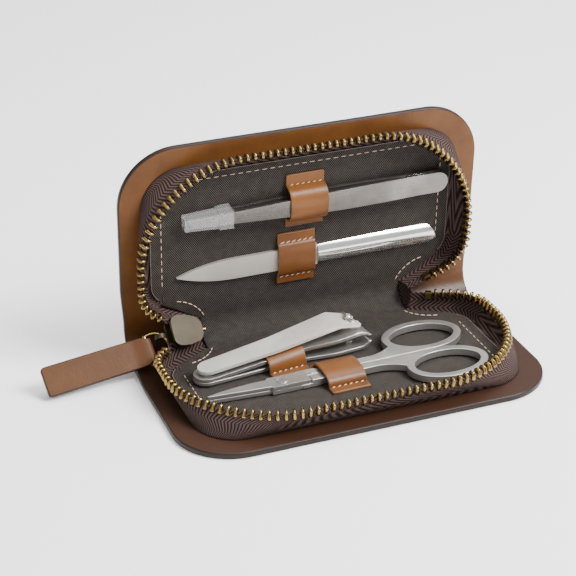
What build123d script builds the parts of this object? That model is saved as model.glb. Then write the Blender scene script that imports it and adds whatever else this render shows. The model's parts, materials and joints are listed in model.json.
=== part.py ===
"""Manicure set case: a zip case of tan leather that stands open on its base like a book.

The base tray holds a nail clipper and a pair of nail scissors, the lid a pair of tweezers and
a nail file, each under a stitched leather loop. Millimetres. X runs along the hinge, -Y is the
front, +Z is up. The origin is the middle of the base panel's underside.

Each half of the case is drawn in its own frame: x along the hinge, y away from the hinge and
z from the outer leather face into the tray.
"""

import os
from math import cos, radians, sin, tan

from build123d import *

# ---------------------------------------------------------------- leather cover
PANEL_LENGTH = 124.2  # along the hinge
PANEL_DEPTH = 63.4  # from the hinge line to the free edge
PANEL_CORNER = 19.3
PANEL_WAIST = 122.6  # length at the hinge line, a little narrower than the panel
WAIST_RUN = 15.4  # how far from the hinge the waist reaches
LEATHER = 2.0
LEATHER_BEVEL = 0.5
HALF_HEIGHT = 10.5  # outer leather face to the middle of the zip: half the closed case
LID_ANGLE = 85.0  # lid at rest, from closed
SPINE_GAP = 0.3  # open joint line between the spine strip and the lid panel, in degrees

# ---------------------------------------------------------------- inside of each tray
BOARD = 0.8
BOARD_MARGIN = 2.4  # board edge, inside the lining edge
LINING = 0.5
LINING_LENGTH = 97.4
LINING_DEPTH = 52.2
LINING_CORNER = 10.0
LINING_WAIST = 68.0  # length at the hinge line, between the two rounded bites
LINING_BITE = 6.6  # how far from the hinge each bite reaches
BITE_ROUND = (0.23, 0.66)  # middle of the bite's arc, as shares of its length and depth
SPINE_LINING = 0.6

# ---------------------------------------------------------------- zip wall and teeth
# The tape stands on a seam line on the leather and leans to the chain line that the teeth follow.
SEAM_LENGTH, SEAM_DEPTH, SEAM_CORNER = 109.8, 56.4, 13.7
SEAM_END, SEAM_SHOULDER = 73.0, 15.0  # length at the hinge line and depth of the rounded shoulder
CHAIN_LENGTH, CHAIN_DEPTH, CHAIN_CORNER = 116.0, 60.8, 39.5
CHAIN_END, CHAIN_SHOULDER = 77.0, 17.1
END_ANGLE = 25.0  # between the hinge line and the last straight stretch of zip
TAPE = 0.7
TAPE_TO_MIDDLE = 0.9  # tape edge below the middle of the zip, inside the teeth
TOOTH_PITCH = 2.5
TOOTH_THICK = 1.0
TOOTH_WIDE = 2.3
TOOTH_LEG = 2.8  # from the middle of the zip down the tape
TOOTH_HEAD = 0.4  # past the middle of the zip, between two teeth of the other row
TOOTH_HEAD_WIDE = 1.6
TOOTH_SEAT = 0.24  # clearance of tape and teeth
STOP_LENGTH = 2.0
STOP_TOP = -0.5  # from the middle of the zip, clear of the other row's heads
STOP_RADIUS = 0.75  # round stop where both rows start
ROW_GAP = 2.2  # radius about the hinge that the rows leave free

# ---------------------------------------------------------------- slider, ring and pull tab
SLIDER_TILT = 18.8  # about the zip's own direction across, towards the tray
SLIDER_FROM_END = 5.9  # middle of the slider to the end of the zip
SLIDER_LENGTH = 11.5
SLIDER_WIDTH = 10.2
SLIDER_NOSE_WIDTH = 7.0
SLIDER_ROUND = 2.6
SLIDER_PLATE = 0.9
SLIDER_GAP = 3.0  # between the two plates
SLIDER_LIP = 0.9
SLIDER_LIP_WIDE = 0.8
SLIDER_LIP_SHORT = 2.2  # lip ends, inside the plate's ends
SLIDER_POST = (3.8, 1.8)
SLIDER_ROOM = 9.0  # radius about the hinge that the tape leaves free for the slider
SLIDER_TRAVEL = 1.5
CROWN_LENGTH, CROWN_HEIGHT, CROWN_STRAP, CROWN_WIDTH = 11.7, 4.0, 0.8, 1.5
CROWN_REACH = 3.0  # crown past the slider's mouth
WIRE = 1.2
RING_RADIUS = 5.2  # middle of the wire
RING_FLAT = 2.0  # straight bar that carries the tab, from the ring's middle
RING_HANG = 36.0  # where the wire lies in the crown, in degrees up round the ring
RING_SEAT = 2.1  # wire's middle from the inside of the crown's end
PULL_TURN = 6.5  # ring and tab, turned down from the zip's direction
TAB_LENGTH = 36.6
TAB_WIDTH = 9.6
TAB_TIP_WIDTH = 10.0
TAB_THICK = 2.0
TAB_CORNER = 1.2
TAB_NECK = 7.8  # width inside the ring
TAB_NECK_LENGTH = 1.6
TAB_FOLD = 1.0  # leather round the ring
FIT = 0.05  # running fit, radial

# ---------------------------------------------------------------- leather loops
STRAP = 0.9
LOOP_LENGTH = 13.0  # along the tool
LOOP_SLACK = 0.35
LOOP_FLAP = 4.4
LOOP_RADIUS = 0.5  # inside bend
LOOP_SLOPE = 0.9  # how far each side wall leans in

# ---------------------------------------------------------------- tools
REST_GAP = 0.1  # tool above the lining

TWEEZERS_TIP_X = -41.3
TWEEZERS_LENGTH = 91.2
TWEEZERS_FROM_HINGE = 38.3
TWEEZERS_WIDE, TWEEZERS_TIP_WIDE = 7.4, 3.3
TWEEZERS_SHOULDER = 55.0  # from the tip to where the arms are at their full width
EASE = 0.02  # slope of an outline where its curve starts at a tip
TIP_SLANT = 2.6  # how much longer the front corner of the slanted tip is
ARM_THICK = 1.1
ARM_BOW = 1.0  # each arm away from the other, at mid length
TIP_GAP = 0.6
WELD_LENGTH = 11.0
GUARD_LENGTH, GUARD_WALL, GUARD_PLAY = 16.2, 0.5, 0.1
GUARD_PAST_TIP = 0.8
COLLAR_LENGTH, COLLAR_WALL = 4.8, 0.35
TWEEZERS_LOOP_X = 0.1

FILE_TIP_X = -44.0
FILE_LENGTH = 91.2
FILE_FROM_HINGE = 17.2
FILE_WIDE = 7.6
FILE_THICK = 1.1
FILE_POINT = 20.0  # length of the tapered point
HANDLE_FROM_TIP = 49.0  # where the half-round handle starts
HANDLE_RISE = 2.2
HANDLE_NARROW = 6.8
HANDLE_WIDE = 8.0
TANG_WIDE, TANG_LENGTH = 4.4, 16.0
FILE_LOOP_X = -2.6

CLIPPER_REAR = (-47.4, 21.4)  # x and distance from the hinge of the arms' rear end
CLIPPER_ANGLE = 6.3
CLIPPER_LENGTH = 61.0
JAW_THICK = 1.2
JAW_REAR_WIDE, JAW_HEAD_WIDE = 8.4, 12.6
JAW_FLARE = (CLIPPER_LENGTH - 27.0, CLIPPER_LENGTH - 11.0)  # where the arms start and stop widening
JAW_SPLIT = 6.2  # where the upper arm starts to rise
JAW_GAP = 0.1  # between the arms at the rivet
JAW_TOP = 6.8  # top of the upper arm at the pin
JAW_TURN = CLIPPER_LENGTH - 4.4  # where both jaws turn to their edges
EDGE_GAP = 2.0
EDGE_MIDDLE = 4.1  # middle of the gap between the edges
EDGE_THICK = 0.35
EDGE_HOLLOW = 0.7  # edges curve in by this at the middle
RIVET_X, RIVET_RADIUS, RIVET_HEAD, RIVET_HEAD_THICK, RIVET_PLAY = 4.4, 1.0, 1.8, 0.45, 0.1
PIN_X = CLIPPER_LENGTH - 5.6
PIN_RADIUS, PIN_FOOT, PIN_FOOT_THICK = 1.2, 2.3, 0.5
PIN_PLAY = 0.3  # of the pin in the upper arm, which tips as it closes
PIN_BAR_Z, PIN_BAR_RADIUS, PIN_BAR_LENGTH = 10.1, 0.5, 6.4
PIN_TOP = 0.75  # pin above its cross bar's middle
PIN_DOME = 0.4
LEVER_THICK = 1.1
LEVER_THUMB_WIDE, LEVER_BEND_WIDE, LEVER_FORK_WIDE = 7.4, 10.6, 8.0
LEVER_END = (1.5, 5.0)  # along the clipper and up, top of the thumb end
LEVER_BEND = (PIN_X - 5.6, 10.9)
LEVER_KNEE = (LEVER_BEND[0] - 21.8, 7.5)
LEVER_CAM = 3.05  # radius of the fork's end about the cross bar
LEVER_FORK = 2.0  # slot behind the cross bar
LEVER_SLOT_PLAY = 0.15
CLIPPER_LOOP_S = 30.1  # middle of the loop, from the rear end

SCISSORS_PIVOT = (-22.5, 34.3)  # x and distance from the hinge
SCISSORS_ANGLE = 1.8
BLADE_LENGTH = 25.0
BLADE_ROOT, BLADE_POINT, BLADE_BELLY = 4.6, 0.5, 0.7
HALF_THICK = 1.35
HALF_GAP = 0.05
JOINT_FRONT, JOINT_BACK, JOINT_WIDE = 4.4, 8.6, 6.2
JOINT_NOTCH = 0.35  # open step behind the joint
SHANK_WIDE = 3.3
SHANK_END = 31.0  # where the shank starts to turn into the ring
SHANK_GAP = 0.12  # between the closed shanks
RING_LONG, RING_SHORT, RING_WEB, RING_THICK = 27.6, 19.0, 2.5, 2.4
RING_FROM_PIVOT = 53.4
SCREW_RADIUS, SCREW_HEAD, SCREW_HEAD_THICK = 1.1, 1.8, 0.3
SCISSORS_LOOP_X = -2.9
SCISSORS_OPEN = 2.0  # how far the loop lets the rings part, in degrees

# ---------------------------------------------------------------- places worked out from these
HINGE_Y = PANEL_DEPTH / 2
HINGE = Axis((0, HINGE_Y, HALF_HEIGHT), (1, 0, 0))
FLOOR = LEATHER + BOARD + LINING
REST = FLOOR + REST_GAP
LIFT = radians(LID_ANGLE)
END = radians(END_ANGLE)
BASE_FRAME = Plane(origin=(0, HINGE_Y, 0), x_dir=(-1, 0, 0), z_dir=(0, 0, 1))
LID_FRAME = Plane(
    origin=(0, HINGE_Y + HALF_HEIGHT * sin(LIFT), HALF_HEIGHT * (1 + cos(LIFT))),
    x_dir=(1, 0, 0),
    z_dir=(0, -sin(LIFT), -cos(LIFT)),
)


def along(frame, y=0):
    """A plane that looks at a piece from its side: x as in the frame, y up."""
    return Plane(origin=frame.from_local_coords((0, y, 0)), x_dir=frame.x_dir, z_dir=-frame.y_dir)


def across(frame, x):
    """A plane across a piece: its x is the frame's y, its y is up."""
    return Plane(origin=frame.from_local_coords((x, 0, 0)), x_dir=frame.y_dir, z_dir=frame.x_dir)


# ---------------------------------------------------------------- outlines of a half
def panel_outline():
    """The leather panel: rounded free corners and a slight waist at the hinge line."""
    half, waist = PANEL_LENGTH / 2, PANEL_WAIST / 2
    front = half - PANEL_CORNER
    with BuildSketch() as outline:
        with BuildLine():
            hollow = TangentArc((waist, 0), ((waist + half) / 2, WAIST_RUN / 2), tangent=(0, 1))
            TangentArc(hollow @ 1, (half, WAIST_RUN), tangent=hollow % 1)
            Line((half, WAIST_RUN), (half, PANEL_DEPTH - PANEL_CORNER))
            TangentArc((half, PANEL_DEPTH - PANEL_CORNER), (front, PANEL_DEPTH), tangent=(0, 1))
            Line((front, PANEL_DEPTH), (0, PANEL_DEPTH))
            Line((0, 0), (waist, 0))
            mirror(about=Plane.YZ)
        make_face()
    return outline.sketch


def lining_outline(margin=0.0):
    """The lining: a rounded rectangle with a bite round each end of the zip."""
    half, depth = LINING_LENGTH / 2 - margin, LINING_DEPTH - margin
    waist, bite = LINING_WAIST / 2 - margin, LINING_BITE + margin
    corner = LINING_CORNER - margin
    round_x, round_y = BITE_ROUND
    with BuildSketch() as outline:
        with BuildLine():
            Line((0, 0), (waist, 0))
            ThreePointArc((waist, 0), (waist + round_x * (half - waist), round_y * bite), (half, bite))
            Line((half, bite), (half, depth - corner))
            TangentArc((half, depth - corner), (half - corner, depth), tangent=(0, 1))
            Line((half - corner, depth), (0, depth))
            mirror(about=Plane.YZ)
        make_face()
    return outline.sketch


def zip_edges(height, inset=0.0):
    """The zip's run at one height, as nine edges from its left end to its right end."""
    share = (height - LEATHER) / (HALF_HEIGHT - LEATHER)

    def between(seam, chain):
        return seam + (chain - seam) * share

    half = between(SEAM_LENGTH, CHAIN_LENGTH) / 2 - inset
    depth = between(SEAM_DEPTH, CHAIN_DEPTH) - inset
    corner = between(SEAM_CORNER, CHAIN_CORNER) - inset
    end = between(SEAM_END, CHAIN_END) / 2 - inset / sin(END)
    shoulder = between(SEAM_SHOULDER, CHAIN_SHOULDER)
    radius = (shoulder / tan(END) - (half - end)) / (1 / sin(END) - 1)
    bend_x = half - radius * (1 - sin(END))
    bend_y = shoulder - radius * cos(END)
    front = half - corner
    with BuildLine(mode=Mode.PRIVATE):
        edges = [
            Line((-end, 0), (-bend_x, bend_y)),
            TangentArc((-bend_x, bend_y), (-half, shoulder), tangent=(-cos(END), sin(END))),
            Line((-half, shoulder), (-half, depth - corner)),
            TangentArc((-half, depth - corner), (-front, depth), tangent=(0, 1)),
            Line((-front, depth), (front, depth)),
            TangentArc((front, depth), (half, depth - corner), tangent=(1, 0)),
            Line((half, depth - corner), (half, shoulder)),
            TangentArc((half, shoulder), (bend_x, bend_y), tangent=(0, -1)),
            Line((bend_x, bend_y), (end, 0)),
        ]
    return edges


def zip_outline(height, inset=0.0):
    """The space inside the zip's run, closed along the hinge line."""
    edges = zip_edges(height, inset)
    with BuildSketch() as outline:
        with BuildLine():
            add(edges)
            Line(edges[-1] @ 1, edges[0] @ 0)
        make_face()
    return outline.sketch


# ---------------------------------------------------------------- the two halves of the case
def cover_half(frame):
    """One leather panel, its free edges bevelled."""
    with BuildPart() as cover:
        with BuildSketch(frame):
            add(panel_outline())
        extrude(amount=LEATHER)
        faces = cover.faces().filter_by(frame)
        rims = faces.edges().filter_by(lambda edge: frame.to_local_coords(edge.center()).Y > LEATHER)
        chamfer(rims, LEATHER_BEVEL)
    return cover.part


def board_half(frame):
    """The stiff board between leather and lining."""
    with BuildPart() as board:
        with BuildSketch(frame.offset(LEATHER)):
            add(lining_outline(BOARD_MARGIN))
        extrude(amount=BOARD)
    return board.part


def lining_half(frame):
    """The fabric over the board, with its edge on the turned-in foot of the tape."""
    with BuildPart() as lining:
        with BuildSketch(frame.offset(LEATHER + BOARD)):
            add(lining_outline())
        extrude(amount=LINING)
    return lining.part


SLIDER_REACH = CHAIN_END / 2 + SLIDER_FROM_END + SLIDER_LENGTH / 2 + SLIDER_TRAVEL


def slider_room():
    """The round space about the hinge that the slider needs at the left end of the zip."""
    with BuildPart() as room:
        with BuildSketch(Plane.YZ.offset(-SLIDER_REACH)):
            with Locations((HINGE_Y, HALF_HEIGHT)):
                Circle(SLIDER_ROOM)
        extrude(amount=SLIDER_REACH - CHAIN_END / 2 + STOP_LENGTH / 2)
    return room.part


def tape_half(frame):
    """The zip tape: a foot turned in under the lining, and the leaning wall that carries teeth."""
    top = HALF_HEIGHT - TAPE_TO_MIDDLE
    with BuildPart() as tape:
        for height in (LEATHER, top):
            with BuildSketch(frame.offset(height)):
                add(zip_outline(height))
        loft(ruled=True)
        for height in (LEATHER, top):
            with BuildSketch(frame.offset(height)):
                add(zip_outline(height, TAPE))
        loft(ruled=True, mode=Mode.SUBTRACT)
        with BuildSketch(frame.offset(LEATHER)):
            add(zip_outline(LEATHER, TAPE / 2))
            add(lining_outline(BOARD_MARGIN), mode=Mode.SUBTRACT)
        extrude(amount=BOARD)
        add(slider_room(), mode=Mode.SUBTRACT)
    return tape.part


def tooth(thick, head):
    """One tooth: two legs that grip the tape and a tapered head. Its z=0 is the zip's middle."""
    wide, tip, slot = TOOTH_WIDE / 2, TOOTH_HEAD_WIDE / 2, TAPE / 2 + TOOTH_SEAT
    with BuildPart() as part:
        with BuildSketch(Plane.YZ):
            with BuildLine():
                Polyline(
                    (-wide, -TOOTH_LEG),
                    (-wide, -TOOTH_HEAD - TOOTH_SEAT),
                    (-tip, head),
                    (tip, head),
                    (wide, -TOOTH_HEAD - TOOTH_SEAT),
                    (wide, -TOOTH_LEG),
                    (slot, -TOOTH_LEG),
                    (slot, TOOTH_SEAT - TAPE_TO_MIDDLE),
                    (-slot, TOOTH_SEAT - TAPE_TO_MIDDLE),
                    (-slot, -TOOTH_LEG),
                    close=True,
                )
            make_face()
        extrude(amount=thick / 2, both=True)
    return part.part


def tooth_places(frame):
    """Where one row's teeth stand: evenly along the chain line, in line with the tape's lean.

    Each row starts a quarter of a pitch from its own end, so the two rows fall between each other.
    The places next to the hinge and round the slider stay empty.
    """
    chain = zip_edges(HALF_HEIGHT, TAPE / 2)
    grip = (TAPE_TO_MIDDLE + TOOTH_LEG) / 2  # the legs follow the leaning tape at their mid height
    below = Wire(zip_edges(HALF_HEIGHT - grip, TAPE / 2))
    run = sum(edge.length for edge in chain)
    count = round(run / TOOTH_PITCH)
    places, passed, n = [], 0.0, 0
    for i in range(count):
        distance = (i + 0.25) * run / count
        while distance > passed + chain[n].length:
            passed += chain[n].length
            n += 1
        share = (distance - passed) / chain[n].length
        top = chain[n] @ share
        foot = below.distance_to_with_closest_points(top)[1]
        upright = Vector(top.X - foot.X, top.Y - foot.Y, grip)
        stand = Plane(origin=(top.X, top.Y, HALF_HEIGHT), x_dir=chain[n] % share, z_dir=upright)
        place = frame.location * stand.location
        at_slider = place.position.X < 0 and place.position.X > -SLIDER_REACH
        if top.Y > (SLIDER_ROOM + TOOTH_WIDE / 2 if at_slider else ROW_GAP):
            places.append(place)
    return sorted(places, key=lambda place: frame.to_local_coords(place.position).Y)


def teeth_half(frame):
    """One row of teeth, less the place of its stop."""
    with BuildPart() as row:
        with Locations(*tooth_places(frame)[1:]):
            add(tooth(TOOTH_THICK, TOOTH_HEAD))
    return row.part


def stop_half(frame):
    """The stop clamped on the tape where a row ends."""
    with BuildPart() as stop:
        with Locations(tooth_places(frame)[0]):
            add(tooth(STOP_LENGTH, STOP_TOP))
    return stop.part


# ---------------------------------------------------------------- loops
def loop_profile(half_span, top):
    """A strap bent over a tool: inner half span at the lining, inner height, flaps to both sides.

    Drawn across the tool, with y=0 on the lining.
    """
    foot, crest = STRAP / 2, top + STRAP / 2
    wall = half_span + STRAP / 2
    with BuildSketch() as profile:
        with BuildLine():
            FilletPolyline(
                (-wall - LOOP_FLAP, foot),
                (-wall, foot),
                (LOOP_SLOPE - wall, crest),
                (wall - LOOP_SLOPE, crest),
                (wall, foot),
                (wall + LOOP_FLAP, foot),
                radius=LOOP_RADIUS + STRAP / 2,
            )
        trace(line_width=STRAP)
    return profile.sketch


def loop(frame, x, half_span, top):
    """A level loop on the lining, its middle at x along the frame."""
    with BuildPart() as strap:
        with BuildSketch(across(frame, x - LOOP_LENGTH / 2)):
            add(loop_profile(half_span, top))
        extrude(amount=LOOP_LENGTH)
    return strap.part


# ---------------------------------------------------------------- leather, boards, linings, zip
with BuildPart() as base_cover:
    add(cover_half(BASE_FRAME))

with BuildPart() as lid_cover:
    add(cover_half(LID_FRAME))

SPINE_TURN = 180 - LID_ANGLE - SPINE_GAP

with BuildPart() as spine_cover:
    with BuildSketch(Plane.XZ.offset(-HINGE_Y)):
        with Locations((0, LEATHER / 2)):
            Rectangle(PANEL_WAIST, LEATHER)
    revolve(axis=HINGE, revolution_arc=SPINE_TURN)

with BuildPart() as spine_lining:
    with BuildSketch(Plane.XZ.offset(-HINGE_Y)):
        with Locations((0, LEATHER + SPINE_LINING / 2)):
            Rectangle(LINING_WAIST - 2 * BOARD_MARGIN, SPINE_LINING)
    revolve(axis=HINGE, revolution_arc=SPINE_TURN)

with BuildPart() as base_board:
    add(board_half(BASE_FRAME))

with BuildPart() as lid_board:
    add(board_half(LID_FRAME))

with BuildPart() as base_lining:
    add(lining_half(BASE_FRAME))

with BuildPart() as lid_lining:
    add(lining_half(LID_FRAME))

with BuildPart() as lower_zip_tape:
    add(tape_half(BASE_FRAME))

with BuildPart() as upper_zip_tape:
    add(tape_half(LID_FRAME))

with BuildPart() as lower_zip_teeth:
    add(teeth_half(BASE_FRAME))

with BuildPart() as upper_zip_teeth:
    add(teeth_half(LID_FRAME))

with BuildPart() as lower_top_stop:
    add(stop_half(BASE_FRAME))

with BuildPart() as upper_top_stop:
    add(stop_half(LID_FRAME))

with BuildPart() as bottom_stop:
    with BuildSketch(Plane.YZ.offset(FIT - CHAIN_END / 2)):
        with Locations((HINGE_Y, HALF_HEIGHT)):
            Circle(STOP_RADIUS)
    extrude(amount=STOP_LENGTH)

# ---------------------------------------------------------------- slider, ring and tab
# The slider stands halfway between the two open halves, a little turned towards the tray.
HALFWAY = radians(90 - LID_ANGLE / 2)
ACROSS_ZIP = Vector(0, cos(HALFWAY), sin(HALFWAY))
OUT_OF_ZIP = Vector(0, -sin(HALFWAY), cos(HALFWAY))
TILT = radians(SLIDER_TILT)
SLIDER_X = Vector(1, 0, 0) * cos(TILT) - OUT_OF_ZIP * sin(TILT)
SLIDER_Z = Vector(1, 0, 0) * sin(TILT) + OUT_OF_ZIP * cos(TILT)
ZIP_END = Vector(-CHAIN_END / 2, HINGE_Y, HALF_HEIGHT)
SLIDER_FRAME = Plane(origin=ZIP_END - SLIDER_X * SLIDER_FROM_END, x_dir=SLIDER_X, z_dir=SLIDER_Z)
MOUTH, NOSE = -SLIDER_LENGTH / 2, SLIDER_LENGTH / 2
CROWN_FOOT = -(SLIDER_GAP / 2 + SLIDER_PLATE - CROWN_STRAP)
CROWN_END = MOUTH - CROWN_REACH


def slider_outline():
    """The plate's shield shape, wide at the mouth."""
    wide, nose = SLIDER_WIDTH / 2, SLIDER_NOSE_WIDTH / 2
    with BuildSketch() as outline:
        with BuildLine():
            Polyline((MOUTH, -wide), (0, -wide), (NOSE, -nose), (NOSE, nose), (0, wide), (MOUTH, wide),
                     close=True)
        make_face()
        fillet(outline.vertices(), SLIDER_ROUND)
    return outline.sketch


def slider_lips():
    """The two turned-in edges that guide the teeth."""
    with BuildSketch() as lips:
        add(slider_outline())
        offset(amount=-SLIDER_LIP_WIDE, mode=Mode.SUBTRACT)
        Rectangle(SLIDER_LENGTH - 2 * SLIDER_LIP_SHORT, SLIDER_WIDTH, mode=Mode.INTERSECT)
    return lips.sketch


with BuildPart() as slider_body:
    for side in (1, -1):
        with BuildSketch(SLIDER_FRAME.offset(side * SLIDER_GAP / 2)):
            add(slider_outline())
        extrude(amount=side * SLIDER_PLATE)
        with BuildSketch(SLIDER_FRAME.offset(side * SLIDER_GAP / 2)):
            add(slider_lips())
        extrude(amount=-side * SLIDER_LIP)
    with BuildSketch(SLIDER_FRAME):
        with Locations((MOUTH + SLIDER_POST[0] / 2 + WIRE / 2, 0)):
            with BuildLine():
                length, width = SLIDER_POST
                Polyline((-length / 2, 0), (0, -width / 2), (length / 2, 0), (0, width / 2), close=True)
            make_face()
    extrude(amount=SLIDER_GAP / 2, both=True)
    with BuildSketch(along(SLIDER_FRAME)):
        with Locations((CROWN_END + CROWN_LENGTH / 2, CROWN_FOOT - CROWN_HEIGHT / 2)):
            RectangleRounded(CROWN_LENGTH, CROWN_HEIGHT, CROWN_STRAP + WIRE / 2)
            RectangleRounded(
                CROWN_LENGTH - 2 * CROWN_STRAP, CROWN_HEIGHT - 2 * CROWN_STRAP, WIRE / 2, mode=Mode.SUBTRACT
            )
    extrude(amount=CROWN_WIDTH / 2, both=True)

TURN = radians(PULL_TURN)
HANG = radians(RING_HANG)
RING_X = Vector(1, 0, 0) * cos(TURN) + ACROSS_ZIP * sin(TURN)
RING_Y = ACROSS_ZIP * cos(TURN) - Vector(1, 0, 0) * sin(TURN)
CROWN_SEAT = SLIDER_FRAME.from_local_coords(
    Vector(CROWN_END + CROWN_STRAP + RING_SEAT, 0, CROWN_FOOT - CROWN_HEIGHT / 2)
)
RING_FRAME = Plane(
    origin=CROWN_SEAT - (RING_X * cos(HANG) + RING_Y * sin(HANG)) * RING_RADIUS,
    x_dir=RING_X,
    z_dir=OUT_OF_ZIP,
)
RING_BAR = (RING_RADIUS**2 - RING_FLAT**2) ** 0.5  # half length of the straight bar

with BuildPart() as pull_ring:
    with BuildLine(RING_FRAME):
        bow = ThreePointArc((-RING_FLAT, -RING_BAR), (RING_RADIUS, 0), (-RING_FLAT, RING_BAR))
        bar = Line(bow @ 1, bow @ 0)
    with BuildSketch(Plane(origin=bow @ 0, z_dir=bow % 0)):
        Circle(WIRE / 2)
    sweep(path=bow)
    with BuildSketch(Plane(origin=bar @ 0, z_dir=bar % 0)):
        Circle(WIRE / 2)
    extrude(amount=bar.length)
    for corner in (bow @ 0, bow @ 1):
        with Locations(corner):
            Sphere(WIRE / 2)

TAB_FRAME = Plane(
    origin=RING_FRAME.from_local_coords((-RING_FLAT, 0, 0)), x_dir=-RING_X, z_dir=OUT_OF_ZIP
)

with BuildPart() as pull_tab:
    with BuildSketch(TAB_FRAME):
        with BuildLine():
            neck, wide, tip = TAB_NECK / 2, TAB_WIDTH / 2, TAB_TIP_WIDTH / 2
            Polyline((0, -neck), (TAB_NECK_LENGTH, -neck), (TAB_NECK_LENGTH, -wide), (TAB_LENGTH, -tip),
                     (TAB_LENGTH, tip), (TAB_NECK_LENGTH, wide), (TAB_NECK_LENGTH, neck), (0, neck),
                     close=True)
        make_face()
    extrude(amount=TAB_THICK / 2, both=True)
    ends = pull_tab.edges().filter_by(Axis(TAB_FRAME.origin, OUT_OF_ZIP)).filter_by(
        lambda edge: TAB_FRAME.to_local_coords(edge.center()).X > TAB_LENGTH / 2
    )
    fillet(ends, TAB_CORNER)
    with BuildSketch(along(TAB_FRAME)):
        Circle(WIRE / 2 + FIT + TAB_FOLD)
    extrude(amount=TAB_NECK / 2, both=True)
    with BuildSketch(along(TAB_FRAME)):
        Circle(WIRE / 2 + FIT)
    extrude(amount=TAB_WIDTH, both=True, mode=Mode.SUBTRACT)

# ---------------------------------------------------------------- tweezers, in the lid
TWEEZERS_FRAME = Plane(
    origin=LID_FRAME.from_local_coords((TWEEZERS_TIP_X, TWEEZERS_FROM_HINGE, REST)),
    x_dir=LID_FRAME.x_dir,
    z_dir=LID_FRAME.z_dir,
)
WELD_START = TWEEZERS_LENGTH - WELD_LENGTH
GUARD_OUT = GUARD_PLAY + GUARD_WALL
GUARD_END = GUARD_LENGTH - GUARD_PAST_TIP


def arm_spread(x):
    """Outer face of each arm from the middle between them, at a distance from the tip.

    The bow is a parabola over the free length, as high as four times share (1 - share).
    """
    share = x / WELD_START
    return TIP_GAP / 2 + (4 * ARM_BOW - TIP_GAP) * share * (1 - share) + ARM_THICK


TWEEZERS_MIDDLE = arm_spread(GUARD_END) + GUARD_OUT + COLLAR_WALL  # the guard's collar lies on the lining


def tweezers_arm(side):
    """One arm, side 1 towards the tray's opening and -1 towards the lining."""
    inner, bow = TWEEZERS_MIDDLE, side * ARM_BOW
    tip, thick = side * TIP_GAP / 2, side * ARM_THICK
    half, point = TWEEZERS_WIDE / 2, TWEEZERS_TIP_WIDE / 2
    with BuildPart() as arm:
        with BuildSketch(along(TWEEZERS_FRAME)):
            with BuildLine():
                Line((WELD_START, inner), (TWEEZERS_LENGTH, inner))
                Line((TWEEZERS_LENGTH, inner), (TWEEZERS_LENGTH, inner + thick))
                Line((TWEEZERS_LENGTH, inner + thick), (WELD_START, inner + thick))
                ThreePointArc((WELD_START, inner + thick), (WELD_START / 2, inner + bow + thick),
                              (0, inner + tip + thick))
                Line((0, inner + tip + thick), (0, inner + tip))
                ThreePointArc((0, inner + tip), (WELD_START / 2, inner + bow), (WELD_START, inner))
            make_face()
        extrude(amount=TWEEZERS_WIDE, both=True)
        with BuildSketch(TWEEZERS_FRAME):
            with BuildLine():
                Line((TIP_SLANT, -point), (0, point))
                Spline((0, point), (TWEEZERS_SHOULDER, half), (TWEEZERS_LENGTH - half, half),
                       tangents=[(1, EASE), (1, 0)])
                ThreePointArc((TWEEZERS_LENGTH - half, half), (TWEEZERS_LENGTH, 0),
                              (TWEEZERS_LENGTH - half, -half))
                Spline((TWEEZERS_LENGTH - half, -half), (TWEEZERS_SHOULDER, -half), (TIP_SLANT, -point),
                       tangents=[(-1, 0), (-1, EASE)])
            make_face()
        extrude(amount=2 * TWEEZERS_MIDDLE, mode=Mode.INTERSECT)
    return arm.part


with BuildPart() as tweezers_front_arm:
    add(tweezers_arm(1))

with BuildPart() as tweezers_rear_arm:
    add(tweezers_arm(-1))


def guard_section(x, wall):
    """The sleeve's section at a distance from the tip, at one distance outside the arms."""
    spread = arm_spread(x)
    width = TWEEZERS_TIP_WIDE + (TWEEZERS_WIDE - TWEEZERS_TIP_WIDE) * x / TWEEZERS_SHOULDER
    with BuildSketch(across(TWEEZERS_FRAME, x)) as section:
        with Locations((0, TWEEZERS_MIDDLE)):
            Rectangle(width + 2 * wall, 2 * (spread + wall))
    return section.sketch


with BuildPart() as tweezers_guard:
    add([guard_section(-GUARD_PAST_TIP, GUARD_OUT), guard_section(GUARD_END, GUARD_OUT)])
    loft(ruled=True)
    add([guard_section(GUARD_END - COLLAR_LENGTH, GUARD_OUT + COLLAR_WALL),
         guard_section(GUARD_END, GUARD_OUT + COLLAR_WALL)])
    loft(ruled=True)
    add([guard_section(-GUARD_PAST_TIP - GUARD_WALL, GUARD_PLAY), guard_section(GUARD_END, GUARD_PLAY)])
    loft(ruled=True, mode=Mode.SUBTRACT)

with BuildPart() as tweezers_loop:
    add(loop(
        Plane(origin=LID_FRAME.from_local_coords((0, TWEEZERS_FROM_HINGE, FLOOR)),
              x_dir=LID_FRAME.x_dir, z_dir=LID_FRAME.z_dir),
        TWEEZERS_LOOP_X,
        TWEEZERS_WIDE / 2 + LOOP_SLACK + LOOP_SLOPE,
        REST_GAP + TWEEZERS_MIDDLE + ARM_BOW + ARM_THICK + LOOP_SLACK,
    ))

# ---------------------------------------------------------------- nail file, in the lid
FILE_FRAME = Plane(
    origin=LID_FRAME.from_local_coords((FILE_TIP_X, FILE_FROM_HINGE, REST)),
    x_dir=LID_FRAME.x_dir,
    z_dir=LID_FRAME.z_dir,
)
TANG_END = HANDLE_FROM_TIP + TANG_LENGTH

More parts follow.
